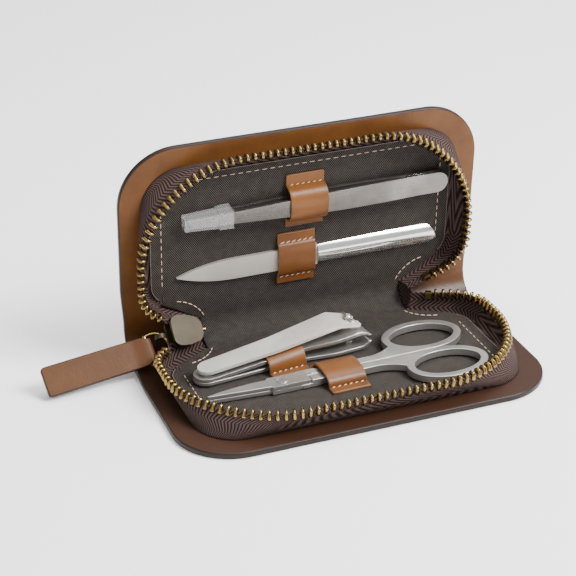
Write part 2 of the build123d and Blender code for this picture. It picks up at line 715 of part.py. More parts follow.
with BuildPart() as file_blade:
    with BuildSketch(FILE_FRAME):
        with BuildLine():
            Spline((FILE_POINT, -FILE_WIDE / 2), (0, 0), (FILE_POINT, FILE_WIDE / 2),
                   tangents=[(-1, EASE), (1, EASE)])
            Line((FILE_POINT, FILE_WIDE / 2), (FILE_POINT, -FILE_WIDE / 2))
        make_face()
        with Locations(((FILE_POINT + HANDLE_FROM_TIP) / 2, 0)):
            Rectangle(HANDLE_FROM_TIP - FILE_POINT, FILE_WIDE)
        with Locations(((HANDLE_FROM_TIP + TANG_END) / 2, 0)):
            Rectangle(TANG_LENGTH, TANG_WIDE)
    extrude(amount=FILE_THICK)

with BuildPart() as file_handle:
    with BuildSketch(across(FILE_FRAME, HANDLE_FROM_TIP)):
        with BuildLine():
            Line((-HANDLE_WIDE / 2, 0), (HANDLE_WIDE / 2, 0))
            ThreePointArc((HANDLE_WIDE / 2, 0), (0, HANDLE_RISE), (-HANDLE_WIDE / 2, 0))
        make_face()
    extrude(amount=FILE_LENGTH - HANDLE_FROM_TIP)
    with BuildSketch(FILE_FRAME):
        with BuildLine():
            narrow, wide, straight = HANDLE_NARROW / 2, HANDLE_WIDE / 2, FILE_LENGTH - HANDLE_WIDE / 2
            Line((HANDLE_FROM_TIP, narrow), (HANDLE_FROM_TIP, -narrow))
            Line((HANDLE_FROM_TIP, -narrow), (straight, -wide))
            ThreePointArc((straight, -wide), (FILE_LENGTH, 0), (straight, wide))
            Line((straight, wide), (HANDLE_FROM_TIP, narrow))
        make_face()
    extrude(amount=HANDLE_RISE, mode=Mode.INTERSECT)
    with BuildSketch(FILE_FRAME):
        with Locations(((HANDLE_FROM_TIP + TANG_END) / 2, 0)):
            Rectangle(TANG_LENGTH, TANG_WIDE)
    extrude(amount=FILE_THICK, mode=Mode.SUBTRACT)

with BuildPart() as file_loop:
    add(loop(
        Plane(origin=LID_FRAME.from_local_coords((0, FILE_FROM_HINGE, FLOOR)),
              x_dir=LID_FRAME.x_dir, z_dir=LID_FRAME.z_dir),
        FILE_LOOP_X,
        FILE_WIDE / 2 + LOOP_SLACK + LOOP_SLOPE,
        REST_GAP + FILE_THICK + LOOP_SLACK,
    ))

# ---------------------------------------------------------------- nail clipper, in the base
CLIPPER_TURN = radians(CLIPPER_ANGLE)
CLIPPER_FRAME = Plane(
    origin=(CLIPPER_REAR[0], HINGE_Y - CLIPPER_REAR[1], REST),
    x_dir=(cos(CLIPPER_TURN), sin(CLIPPER_TURN), 0),
    z_dir=(0, 0, 1),
)
LOWER_FLOOR = PIN_FOOT_THICK + FIT
UPPER_FLOOR = LOWER_FLOOR + JAW_THICK + JAW_GAP
JAW_RISE = (JAW_TOP - UPPER_FLOOR - JAW_THICK) / (PIN_X - JAW_SPLIT)  # slope of the upper arm


def jaw_outline():
    """Both arms from above: rounded rear end, flared head and hollowed cutting edge."""
    rear, head, tip = JAW_REAR_WIDE / 2, JAW_HEAD_WIDE / 2, CLIPPER_LENGTH
    with BuildSketch() as outline:
        with BuildLine():
            ThreePointArc((rear, -rear), (0, 0), (rear, rear))
            Line((rear, rear), (JAW_FLARE[0], rear))
            Spline((JAW_FLARE[0], rear), (JAW_FLARE[1], head), tangents=[(1, 0), (1, 0)])
            Line((JAW_FLARE[1], head), (tip, head))
            ThreePointArc((tip, head), (tip - EDGE_HOLLOW, 0), (tip, -head))
            Line((tip, -head), (JAW_FLARE[1], -head))
            Spline((JAW_FLARE[1], -head), (JAW_FLARE[0], -rear), tangents=[(-1, 0), (-1, 0)])
            Line((JAW_FLARE[0], -rear), (rear, -rear))
        make_face()
    return outline.sketch


def upper_floor(s):
    """Underside of the upper arm at a distance from the rear end."""
    return UPPER_FLOOR + JAW_RISE * max(s - JAW_SPLIT, 0)


with BuildPart() as clipper_lower_jaw:
    with BuildSketch(along(CLIPPER_FRAME)):
        floor, top, edge = LOWER_FLOOR, LOWER_FLOOR + JAW_THICK, EDGE_MIDDLE - EDGE_GAP / 2
        with BuildLine():
            Line((0, floor), (JAW_TURN, floor))
            TangentArc((JAW_TURN, floor), (CLIPPER_LENGTH, edge), tangent=(1, 0))
            Line((CLIPPER_LENGTH, edge), (CLIPPER_LENGTH - EDGE_HOLLOW - EDGE_THICK, edge))
            TangentArc((JAW_TURN, top), (CLIPPER_LENGTH - EDGE_HOLLOW - EDGE_THICK, edge),
                       tangent=(1, 0))
            Line((JAW_TURN, top), (0, top))
            Line((0, top), (0, floor))
        make_face()
    extrude(amount=JAW_HEAD_WIDE, both=True)
    with BuildSketch(CLIPPER_FRAME):
        add(jaw_outline())
    extrude(amount=JAW_TOP, mode=Mode.INTERSECT)
    with BuildSketch(CLIPPER_FRAME):
        with Locations((PIN_X, 0)):
            Circle(PIN_RADIUS + FIT)
        with Locations((RIVET_X, 0)):
            Circle(RIVET_RADIUS)
    extrude(amount=JAW_TOP, mode=Mode.SUBTRACT)

with BuildPart() as clipper_upper_jaw:
    with BuildSketch(along(CLIPPER_FRAME)):
        floor, turn, edge = UPPER_FLOOR, upper_floor(JAW_TURN), EDGE_MIDDLE + EDGE_GAP / 2
        with BuildLine():
            Line((0, floor), (JAW_SPLIT, floor))
            Line((JAW_SPLIT, floor), (JAW_TURN, turn))
            TangentArc((JAW_TURN, turn), (CLIPPER_LENGTH - EDGE_HOLLOW - EDGE_THICK, edge),
                       tangent=(1, JAW_RISE))
            Line((CLIPPER_LENGTH - EDGE_HOLLOW - EDGE_THICK, edge), (CLIPPER_LENGTH, edge))
            TangentArc((JAW_TURN, turn + JAW_THICK), (CLIPPER_LENGTH, edge), tangent=(1, JAW_RISE))
            Line((JAW_TURN, turn + JAW_THICK), (JAW_SPLIT, floor + JAW_THICK))
            Line((JAW_SPLIT, floor + JAW_THICK), (0, floor + JAW_THICK))
            Line((0, floor + JAW_THICK), (0, floor))
        make_face()
    extrude(amount=JAW_HEAD_WIDE, both=True)
    with BuildSketch(CLIPPER_FRAME):
        add(jaw_outline())
    extrude(amount=2 * JAW_TOP, mode=Mode.INTERSECT)
    with BuildSketch(CLIPPER_FRAME):
        with Locations((PIN_X, 0)):
            Circle(PIN_RADIUS + PIN_PLAY)
        with Locations((RIVET_X, 0)):
            Circle(RIVET_RADIUS + RIVET_PLAY)
    extrude(amount=2 * JAW_TOP, mode=Mode.SUBTRACT)

with BuildPart() as clipper_rivet:
    rivet_top = UPPER_FLOOR + JAW_THICK + RIVET_PLAY
    for floor, radius, height in (
        (LOWER_FLOOR - RIVET_HEAD_THICK, RIVET_HEAD, RIVET_HEAD_THICK),
        (LOWER_FLOOR, RIVET_RADIUS, rivet_top - LOWER_FLOOR),
        (rivet_top, RIVET_HEAD, RIVET_HEAD_THICK),
    ):
        with BuildSketch(CLIPPER_FRAME.offset(floor)):
            with Locations((RIVET_X, 0)):
                Circle(radius)
        extrude(amount=height)

with BuildPart() as clipper_pin:
    with BuildSketch(CLIPPER_FRAME):
        with Locations((PIN_X, 0)):
            Circle(PIN_FOOT)
    extrude(amount=PIN_FOOT_THICK)
    with BuildSketch(CLIPPER_FRAME.offset(PIN_FOOT_THICK)):
        with Locations((PIN_X, 0)):
            Circle(PIN_RADIUS)
    extrude(amount=PIN_BAR_Z + PIN_TOP - PIN_FOOT_THICK)
    chamfer(clipper_pin.faces().sort_by(Axis.Z)[-1].edges(), PIN_DOME)
    with BuildSketch(along(CLIPPER_FRAME)):
        with Locations((PIN_X, PIN_BAR_Z)):
            Circle(PIN_BAR_RADIUS)
    extrude(amount=PIN_BAR_LENGTH / 2, both=True)

FORK_TOP = PIN_BAR_Z - PIN_BAR_RADIUS - 2 * FIT  # lever under the cross bar
FORK_SLOPE = (LEVER_BEND[1] - FORK_TOP) / (PIN_X - LEVER_BEND[0])
FORK_END = PIN_X + LEVER_CAM

with BuildPart() as clipper_lever:
    with BuildSketch(along(CLIPPER_FRAME)):
        with BuildLine():
            fork_drop = FORK_TOP - FORK_SLOPE * LEVER_CAM
            Polyline(
                LEVER_END,
                LEVER_KNEE,
                LEVER_BEND,
                (FORK_END, fork_drop),
                (FORK_END, fork_drop - LEVER_THICK),
                (LEVER_BEND[0], LEVER_BEND[1] - LEVER_THICK),
                (LEVER_KNEE[0], LEVER_KNEE[1] - LEVER_THICK),
                (LEVER_END[0], LEVER_END[1] - LEVER_THICK),
                close=True,
            )
        make_face()
        with BuildSketch(mode=Mode.INTERSECT):
            with Locations((PIN_X, PIN_BAR_Z)):
                Circle(LEVER_CAM)
                Rectangle(2 * CLIPPER_LENGTH, 2 * CLIPPER_LENGTH, align=(Align.MAX, Align.CENTER))
    extrude(amount=LEVER_BEND_WIDE, both=True)
    with BuildSketch(CLIPPER_FRAME):
        thumb, bend, fork = LEVER_THUMB_WIDE / 2, LEVER_BEND_WIDE / 2, LEVER_FORK_WIDE / 2
        start = LEVER_END[0]
        with BuildLine():
            ThreePointArc((start + thumb, -thumb), (start, 0), (start + thumb, thumb))
            Line((start + thumb, thumb), (LEVER_BEND[0], bend))
            Line((LEVER_BEND[0], bend), (FORK_END, fork))
            Line((FORK_END, fork), (FORK_END, -fork))
            Line((FORK_END, -fork), (LEVER_BEND[0], -bend))
            Line((LEVER_BEND[0], -bend), (start + thumb, -thumb))
        make_face()
    extrude(amount=2 * PIN_BAR_Z, mode=Mode.INTERSECT)
    with BuildSketch(CLIPPER_FRAME):
        with Locations((PIN_X - LEVER_FORK, 0)):
            Rectangle(CLIPPER_LENGTH, 2 * (PIN_RADIUS + LEVER_SLOT_PLAY), align=(Align.MIN, Align.CENTER))
    extrude(amount=2 * PIN_BAR_Z, mode=Mode.SUBTRACT)

CLIPPER_LOOP_FRAME = CLIPPER_FRAME.offset(-REST_GAP)

with BuildPart() as clipper_loop:
    flare = (JAW_HEAD_WIDE - JAW_REAR_WIDE) / 2 / (JAW_FLARE[1] - JAW_FLARE[0])
    for s in (CLIPPER_LOOP_S - LOOP_LENGTH / 2, CLIPPER_LOOP_S + LOOP_LENGTH / 2):
        widest = JAW_REAR_WIDE / 2 + flare * max(CLIPPER_LOOP_S + LOOP_LENGTH / 2 - JAW_FLARE[0], 0)
        inside_top = REST_GAP + upper_floor(s) + JAW_THICK + LOOP_SLACK
        with BuildSketch(across(CLIPPER_LOOP_FRAME, s)):
            add(loop_profile(widest + LOOP_SLACK + LOOP_SLOPE, inside_top))
    loft(ruled=True)

# ---------------------------------------------------------------- nail scissors, in the base
SCISSORS_TURN = radians(SCISSORS_ANGLE)
SCISSORS_FRAME = Plane(
    origin=(SCISSORS_PIVOT[0], HINGE_Y - SCISSORS_PIVOT[1], REST + SCREW_HEAD_THICK),
    x_dir=(cos(SCISSORS_TURN), sin(SCISSORS_TURN), 0),
    z_dir=(0, 0, 1),
)
SCISSORS_HEIGHT = 2 * HALF_THICK + HALF_GAP
RING_FLOOR = (SCISSORS_HEIGHT - RING_THICK) / 2


def scissors_half(side, floor):
    """One half: blade and joint plate at its own level, shank and ring on its own side."""
    back, gap = JOINT_BACK + JOINT_NOTCH, SHANK_GAP / 2
    outer = gap + SHANK_WIDE
    ring_y = gap + RING_SHORT / 2
    root, point = BLADE_ROOT / 2, BLADE_POINT / 2
    with BuildPart() as half:
        with BuildSketch(SCISSORS_FRAME.offset(floor)):
            with BuildLine():
                ThreePointArc((-JOINT_FRONT, root), (-(JOINT_FRONT + BLADE_LENGTH) / 2, (root + point) / 2
                                                     + BLADE_BELLY), (-BLADE_LENGTH, point))
                Line((-BLADE_LENGTH, point), (-BLADE_LENGTH, -point))
                Line((-BLADE_LENGTH, -point), (-JOINT_FRONT, -root))
                Line((-JOINT_FRONT, -root), (-JOINT_FRONT, root))
            make_face()
            with Locations(((JOINT_BACK - JOINT_FRONT) / 2, 0)):
                Rectangle(JOINT_BACK + JOINT_FRONT, JOINT_WIDE)
            with Locations((back, side * (gap + SHANK_WIDE / 2))):
                Rectangle(2 * JOINT_NOTCH, SHANK_WIDE)
                Rectangle(JOINT_WIDE, SHANK_WIDE)
        extrude(amount=HALF_THICK)
        with BuildSketch(SCISSORS_FRAME.offset(RING_FLOOR)):
            with BuildLine():
                neck_end = (RING_FROM_PIVOT - RING_LONG / 2 + RING_WEB / 4, side * (ring_y - RING_WEB))
                neck = TangentArc((SHANK_END, side * outer), neck_end, tangent=(1, 0))
                Polyline(neck @ 1, (RING_FROM_PIVOT, side * ring_y), (RING_FROM_PIVOT, side * gap),
                         (back, side * gap), (back, side * outer), neck @ 0)
            make_face()
            with Locations((RING_FROM_PIVOT, side * ring_y)):
                Ellipse(RING_LONG / 2, RING_SHORT / 2)
                Ellipse(RING_LONG / 2 - RING_WEB, RING_SHORT / 2 - RING_WEB, mode=Mode.SUBTRACT)
        extrude(amount=RING_THICK)
        with BuildSketch(SCISSORS_FRAME):
            Circle(SCREW_RADIUS + FIT)
        extrude(amount=SCISSORS_HEIGHT, mode=Mode.SUBTRACT)
    return half.part


with BuildPart() as scissors_lower_half:
    add(scissors_half(-1, 0))

with BuildPart() as scissors_upper_half:
    add(scissors_half(1, HALF_THICK + HALF_GAP))

with BuildPart() as scissors_screw:
    for floor, radius, height in (
        (-SCREW_HEAD_THICK, SCREW_HEAD, SCREW_HEAD_THICK),
        (0, SCREW_RADIUS, SCISSORS_HEIGHT + HALF_GAP),
        (SCISSORS_HEIGHT + HALF_GAP, SCREW_HEAD, SCREW_HEAD_THICK),
    ):
        with BuildSketch(SCISSORS_FRAME.offset(floor)):
            Circle(radius)
        extrude(amount=height)

with BuildPart() as scissors_loop:
    loop_from_pivot = (SCISSORS_LOOP_X - SCISSORS_PIVOT[0]) / cos(SCISSORS_TURN)
    swing = (loop_from_pivot + LOOP_LENGTH / 2) * sin(radians(SCISSORS_OPEN))
    add(loop(
        Plane(origin=SCISSORS_FRAME.offset(-SCREW_HEAD_THICK - REST_GAP).origin,
              x_dir=SCISSORS_FRAME.x_dir, z_dir=SCISSORS_FRAME.z_dir),
        loop_from_pivot,
        SHANK_WIDE + SHANK_GAP + swing + LOOP_SLACK + LOOP_SLOPE,
        REST_GAP + SCREW_HEAD_THICK + RING_FLOOR + RING_THICK + LOOP_SLACK,
    ))

# ---------------------------------------------------------------- files
PIECES = {
    "base_cover": base_cover,
    "lid_cover": lid_cover,
    "spine_cover": spine_cover,
    "spine_lining": spine_lining,
    "base_board": base_board,
    "lid_board": lid_board,
    "base_lining": base_lining,
    "lid_lining": lid_lining,
    "lower_zip_tape": lower_zip_tape,
    "upper_zip_tape": upper_zip_tape,
    "lower_zip_teeth": lower_zip_teeth,
    "upper_zip_teeth": upper_zip_teeth,
    "lower_top_stop": lower_top_stop,
    "upper_top_stop": upper_top_stop,
    "bottom_stop": bottom_stop,
    "slider_body": slider_body,
    "pull_ring": pull_ring,
    "pull_tab": pull_tab,
    "tweezers_front_arm": tweezers_front_arm,
    "tweezers_rear_arm": tweezers_rear_arm,
    "tweezers_guard": tweezers_guard,
    "tweezers_loop": tweezers_loop,
    "file_blade": file_blade,
    "file_handle": file_handle,
    "file_loop": file_loop,
    "clipper_lower_jaw": clipper_lower_jaw,
    "clipper_upper_jaw": clipper_upper_jaw,
    "clipper_rivet": clipper_rivet,
    "clipper_pin": clipper_pin,
    "clipper_lever": clipper_lever,
    "clipper_loop": clipper_loop,
    "scissors_lower_half": scissors_lower_half,
    "scissors_upper_half": scissors_upper_half,
    "scissors_screw": scissors_screw,
    "scissors_loop": scissors_loop,
}

os.makedirs("parts", exist_ok=True)
for name, piece in PIECES.items():
    piece.part.label = name
    export_step(piece.part, f"parts/{name}.step")
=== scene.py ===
"""Looks of an open leather manicure set case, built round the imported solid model.

Lengths are millimetres in the sizes and formulas and become metres when a mesh is made.
Each half of the case has flat coordinates: u along the hinge, v away from the hinge and
w from the outer leather face into the tray.
"""

from __future__ import annotations

import json
import logging
import math
from dataclasses import dataclass, field
from enum import Enum
from typing import Callable, Sequence

import bpy
import numpy as np
from mathutils import Matrix, Vector

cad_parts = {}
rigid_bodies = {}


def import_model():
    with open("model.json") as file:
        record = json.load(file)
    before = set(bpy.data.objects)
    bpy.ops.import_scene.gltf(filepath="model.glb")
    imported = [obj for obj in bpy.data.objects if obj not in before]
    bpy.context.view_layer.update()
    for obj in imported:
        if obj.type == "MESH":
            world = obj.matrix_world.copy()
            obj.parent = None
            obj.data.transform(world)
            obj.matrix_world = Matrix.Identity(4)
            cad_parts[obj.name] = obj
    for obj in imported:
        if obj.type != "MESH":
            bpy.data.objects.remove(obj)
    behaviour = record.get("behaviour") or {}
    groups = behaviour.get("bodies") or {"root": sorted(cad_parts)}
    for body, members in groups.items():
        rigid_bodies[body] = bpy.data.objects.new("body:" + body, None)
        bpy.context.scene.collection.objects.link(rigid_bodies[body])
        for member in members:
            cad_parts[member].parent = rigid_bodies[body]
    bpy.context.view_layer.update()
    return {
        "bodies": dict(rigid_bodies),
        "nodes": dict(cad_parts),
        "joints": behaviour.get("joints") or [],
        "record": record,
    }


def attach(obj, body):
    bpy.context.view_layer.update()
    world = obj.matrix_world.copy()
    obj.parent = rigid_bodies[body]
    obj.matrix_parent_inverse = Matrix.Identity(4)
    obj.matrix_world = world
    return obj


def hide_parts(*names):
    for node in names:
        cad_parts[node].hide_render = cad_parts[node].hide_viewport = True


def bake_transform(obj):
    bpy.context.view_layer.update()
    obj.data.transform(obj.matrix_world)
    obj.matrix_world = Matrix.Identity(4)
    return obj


LOG = logging.getLogger("case")
MM = 0.001
Array = np.ndarray
Colour = tuple[float, float, float]


class Half(Enum):
    """The two halves of the case, by the name of the body that carries each."""

    BASE = "base"
    LID = "lid"


# ------------------------------------------------------------------ meshes
@dataclass
class Surface:
    """Points in millimetres, faces, one flat coordinate pair per point and a rim mask."""

    points: Array
    faces: list[tuple[int, ...]]
    flat: Array | None = None
    rim: Array | None = None

    def outward(self) -> "Surface":
        """Turns the faces round if they point inwards.

        The sign comes from the volume: the sum of a.(b x c)/6 over all triangles.

        Returns:
            The same surface, facing outwards.
        """
        corners = np.array([(f[0], f[i], f[i + 1]) for f in self.faces
                            for i in range(1, len(f) - 1)])
        a, b, c = (self.points[corners[:, i]] - self.points.mean(0) for i in range(3))
        if np.einsum("ij,ij->i", a, np.cross(b, c)).sum() < 0:
            self.faces = [tuple(reversed(f)) for f in self.faces]
        return self

    def to_object(self, name: str, material: bpy.types.Material) -> bpy.types.Object:
        """Makes the mesh object, with its UV map and rim attribute.

        Args:
            name: Name of the piece.
            material: Its finish.

        Returns:
            The object, linked to the scene.
        """
        mesh = bpy.data.meshes.new(name)
        mesh.from_pydata((self.points * MM).tolist(), [], self.faces)
        mesh.validate()
        mesh.polygons.foreach_set("use_smooth", np.ones(len(mesh.polygons), bool))
        if self.flat is not None:
            corner = np.zeros(len(mesh.loops), np.int32)
            mesh.loops.foreach_get("vertex_index", corner)
            layer = mesh.uv_layers.new(name="flat")
            layer.data.foreach_set("uv", self.flat[corner].astype(np.float32).ravel())
        if self.rim is not None:
            mask = mesh.attributes.new("rim", "FLOAT", "POINT")
            mask.data.foreach_set("value", self.rim.astype(np.float32))
        mesh.update()
        piece = bpy.data.objects.new(name, mesh)
        bpy.context.scene.collection.objects.link(piece)
        piece.data.materials.append(material)
        return piece


def lerp(a: Array | float, b: Array | float, share: Array | float) -> Array | float:
    """The value between a and b: a + (b - a) share."""
    return a + (b - a) * share


def smooth(t: Array) -> Array:
    """The smooth step 3t^2 - 2t^3 on t held to 0..1."""
    t = np.clip(t, 0, 1)
    return t * t * (3 - 2 * t)


def plate(
    grid: Callable[[float], Array],
    thick: float,
    edge: float,
    bend: Callable[[Array, Array, Array], Array],
    steps: int = 4,
) -> Surface:
    """A flat sheet with rounded edges, bent into place.

    Two grids, top and bottom, are joined by rings of their outline. Ring k is moved in by
    edge (1 - sin a) and lies edge (1 - cos a) below the top, for angles a from 0 to 90
    degrees, and the same again up from the bottom.

    Args:
        grid: Gives rows x columns x (a, s) flat points for an inset from the outline.
        thick: Thickness of the sheet.
        edge: Radius of its rounded edges.
        bend: Maps flat coordinates a, s and height w in the sheet to points.
        steps: Segments in each rounding.

    Returns:
        The closed surface.
    """
    angles = np.linspace(0, math.pi / 2, steps + 1)
    upper = [(edge * (1 - math.sin(a)), thick - edge * (1 - math.cos(a))) for a in angles]
    rings = [*upper, *[(inset, thick - w) for inset, w in reversed(upper)]]
    cap = grid(edge * 1.6)
    rows, columns = cap.shape[:2]
    index = np.arange(rows * columns).reshape(rows, columns)
    border = np.concatenate([index[0], index[1:, -1], index[-1, -2::-1], index[-2:0:-1, 0]])
    flats, heights, rims = (
        [cap.reshape(-1, 2)], [np.full(rows * columns, thick)], [np.zeros(rows * columns)])
    for inset, w in rings:
        flats.append(grid(inset).reshape(-1, 2)[border])
        heights.append(np.full(len(border), w))
        rims.append(np.full(len(border), 0.0 if inset >= edge * 0.99 else 1.0))
    flats.append(cap.reshape(-1, 2))
    heights.append(np.zeros(rows * columns))
    rims.append(np.zeros(rows * columns))
    flat, height = np.concatenate(flats), np.concatenate(heights)
    quads = np.stack(
        [index[:-1, :-1], index[:-1, 1:], index[1:, 1:], index[1:, :-1]], -1).reshape(-1, 4)
    last = rows * columns + len(rings) * len(border)
    loops = [border, *[rows * columns + k * len(border) + np.arange(len(border))
                       for k in range(len(rings))]]
    loops.append(last + border)
    bands = [
        np.stack([one, two, np.roll(two, -1), np.roll(one, -1)], -1)
        for one, two in zip(loops, loops[1:])
    ]
    faces = np.concatenate([quads, (quads + last)[:, ::-1], *bands])
    return Surface(
        bend(flat[:, 0], flat[:, 1], height), faces.tolist(), flat, np.concatenate(rims)).outward()


def rings_surface(rings: Sequence[Array]) -> Surface:
    """A skin over rings of points that have the same count, with flat ends.

    Args:
        rings: One N x 3 array of points for each ring.

    Returns:
        The closed surface.
    """
    count, sides = len(rings), len(rings[0])
    index = np.arange(count * sides).reshape(count, sides)
    turned = np.roll(index, -1, 1)
    quads = np.stack([index[:-1], turned[:-1], turned[1:], index[1:]], -1).reshape(-1, 4).tolist()
    ends = [tuple(index[0][::-1]), tuple(index[-1])]
    return Surface(np.concatenate(rings), [*map(tuple, quads), *ends]).outward()


def repeated(one: Surface, origins: Array, axes: Array) -> Surface:
    """Copies of one small surface: p -> origin + x ax + y ay + z az for each place.

    Args:
        one: The surface in its own coordinates.
        origins: N x 3 places.
        axes: N x 3 x 3, the three axes of each place as rows.

    Returns:
        All copies as one surface.
    """
    points = np.einsum("pk,nkj->npj", one.points, axes) + origins[:, None]
    size = len(one.points)
    faces = [tuple(i + n * size for i in f) for n in range(len(origins)) for f in one.faces]
    return Surface(points.reshape(-1, 3), faces)


def unit(v: Array) -> Array:
    """Rows scaled to length one."""
    return v / np.linalg.norm(v, axis=-1, keepdims=True)


def thread_stitch(length: float, radius: float) -> Surface:
    """One stitch: a bead (cos a) long and (sin a) thick, its ends drawn in to points.

    Args:
        length: Length of the stitch.
        radius: Radius of the thread.

    Returns:
        The bead, along X.
    """
    angle = np.linspace(0.35, math.pi - 0.35, 5)
    around = np.linspace(0, 2 * math.pi, 6, endpoint=False)
    rings = [
        np.stack([np.full(6, -length / 2 * math.cos(a)),
                  radius * math.sin(a) ** 0.7 * np.cos(around),
                  radius * math.sin(a) ** 0.7 * np.sin(around)], -1)
        for a in angle
    ]
    return rings_surface(rings)


def stitches(path: Array, normal: Array, pitch: float, share: float, radius: float,
             slant: float = 0.0) -> Surface:
    """A row of stitches along a path, each at its own arc length (k + 1/2) pitch.

    Args:
        path: M x 3 points of the seam.
        normal: M x 3 or one normal of the sewn surface.
        pitch: Distance of the stitches.
        share: Share of the pitch that each stitch fills.
        radius: Radius of the thread.
        slant: Turn of each stitch out of the seam's direction, in radians.

    Returns:
        All stitches as one surface.
    """
    step = np.linalg.norm(np.diff(path, axis=0), axis=1)
    run = np.concatenate([[0], np.cumsum(step)])
    count = max(2, round(run[-1] / pitch))
    at = (np.arange(count) + 0.5) * run[-1] / count
    origin = np.stack([np.interp(at, run, path[:, i]) for i in range(3)], -1)
    near = np.clip(np.searchsorted(run, at) - 1, 0, len(step) - 1)
    along = unit(np.diff(path, axis=0)[near])
    up = unit(np.broadcast_to(normal, path.shape)[near])
    side = unit(np.cross(up, along))
    turned = along * math.cos(slant) + side * math.sin(slant)
    side = side * math.cos(slant) - along * math.sin(slant)
    return repeated(thread_stitch(pitch * share, radius), origin, np.stack([turned, side, up], 1))


def tube(path: Array, normal: Array, radius: float, sides: int = 6) -> Surface:
    """A thin round thread: circles across the path, with the given normals as up.

    Args:
        path: M x 3 points of the thread.
        normal: M x 3 or one normal of the surface below it.
        radius: Radius of the thread.
        sides: Sides of each circle.

    Returns:
        The closed surface.
    """
    along = unit(np.gradient(path, axis=0))
    side = unit(np.cross(np.broadcast_to(normal, path.shape), along))
    up = np.cross(along, side)
    angle = np.linspace(0, 2 * math.pi, sides, endpoint=False)
    rings = [p + radius * (np.outer(np.cos(angle), s) + np.outer(np.sin(angle), n))
             for p, s, n in zip(path, side, up)]
    return rings_surface(rings)


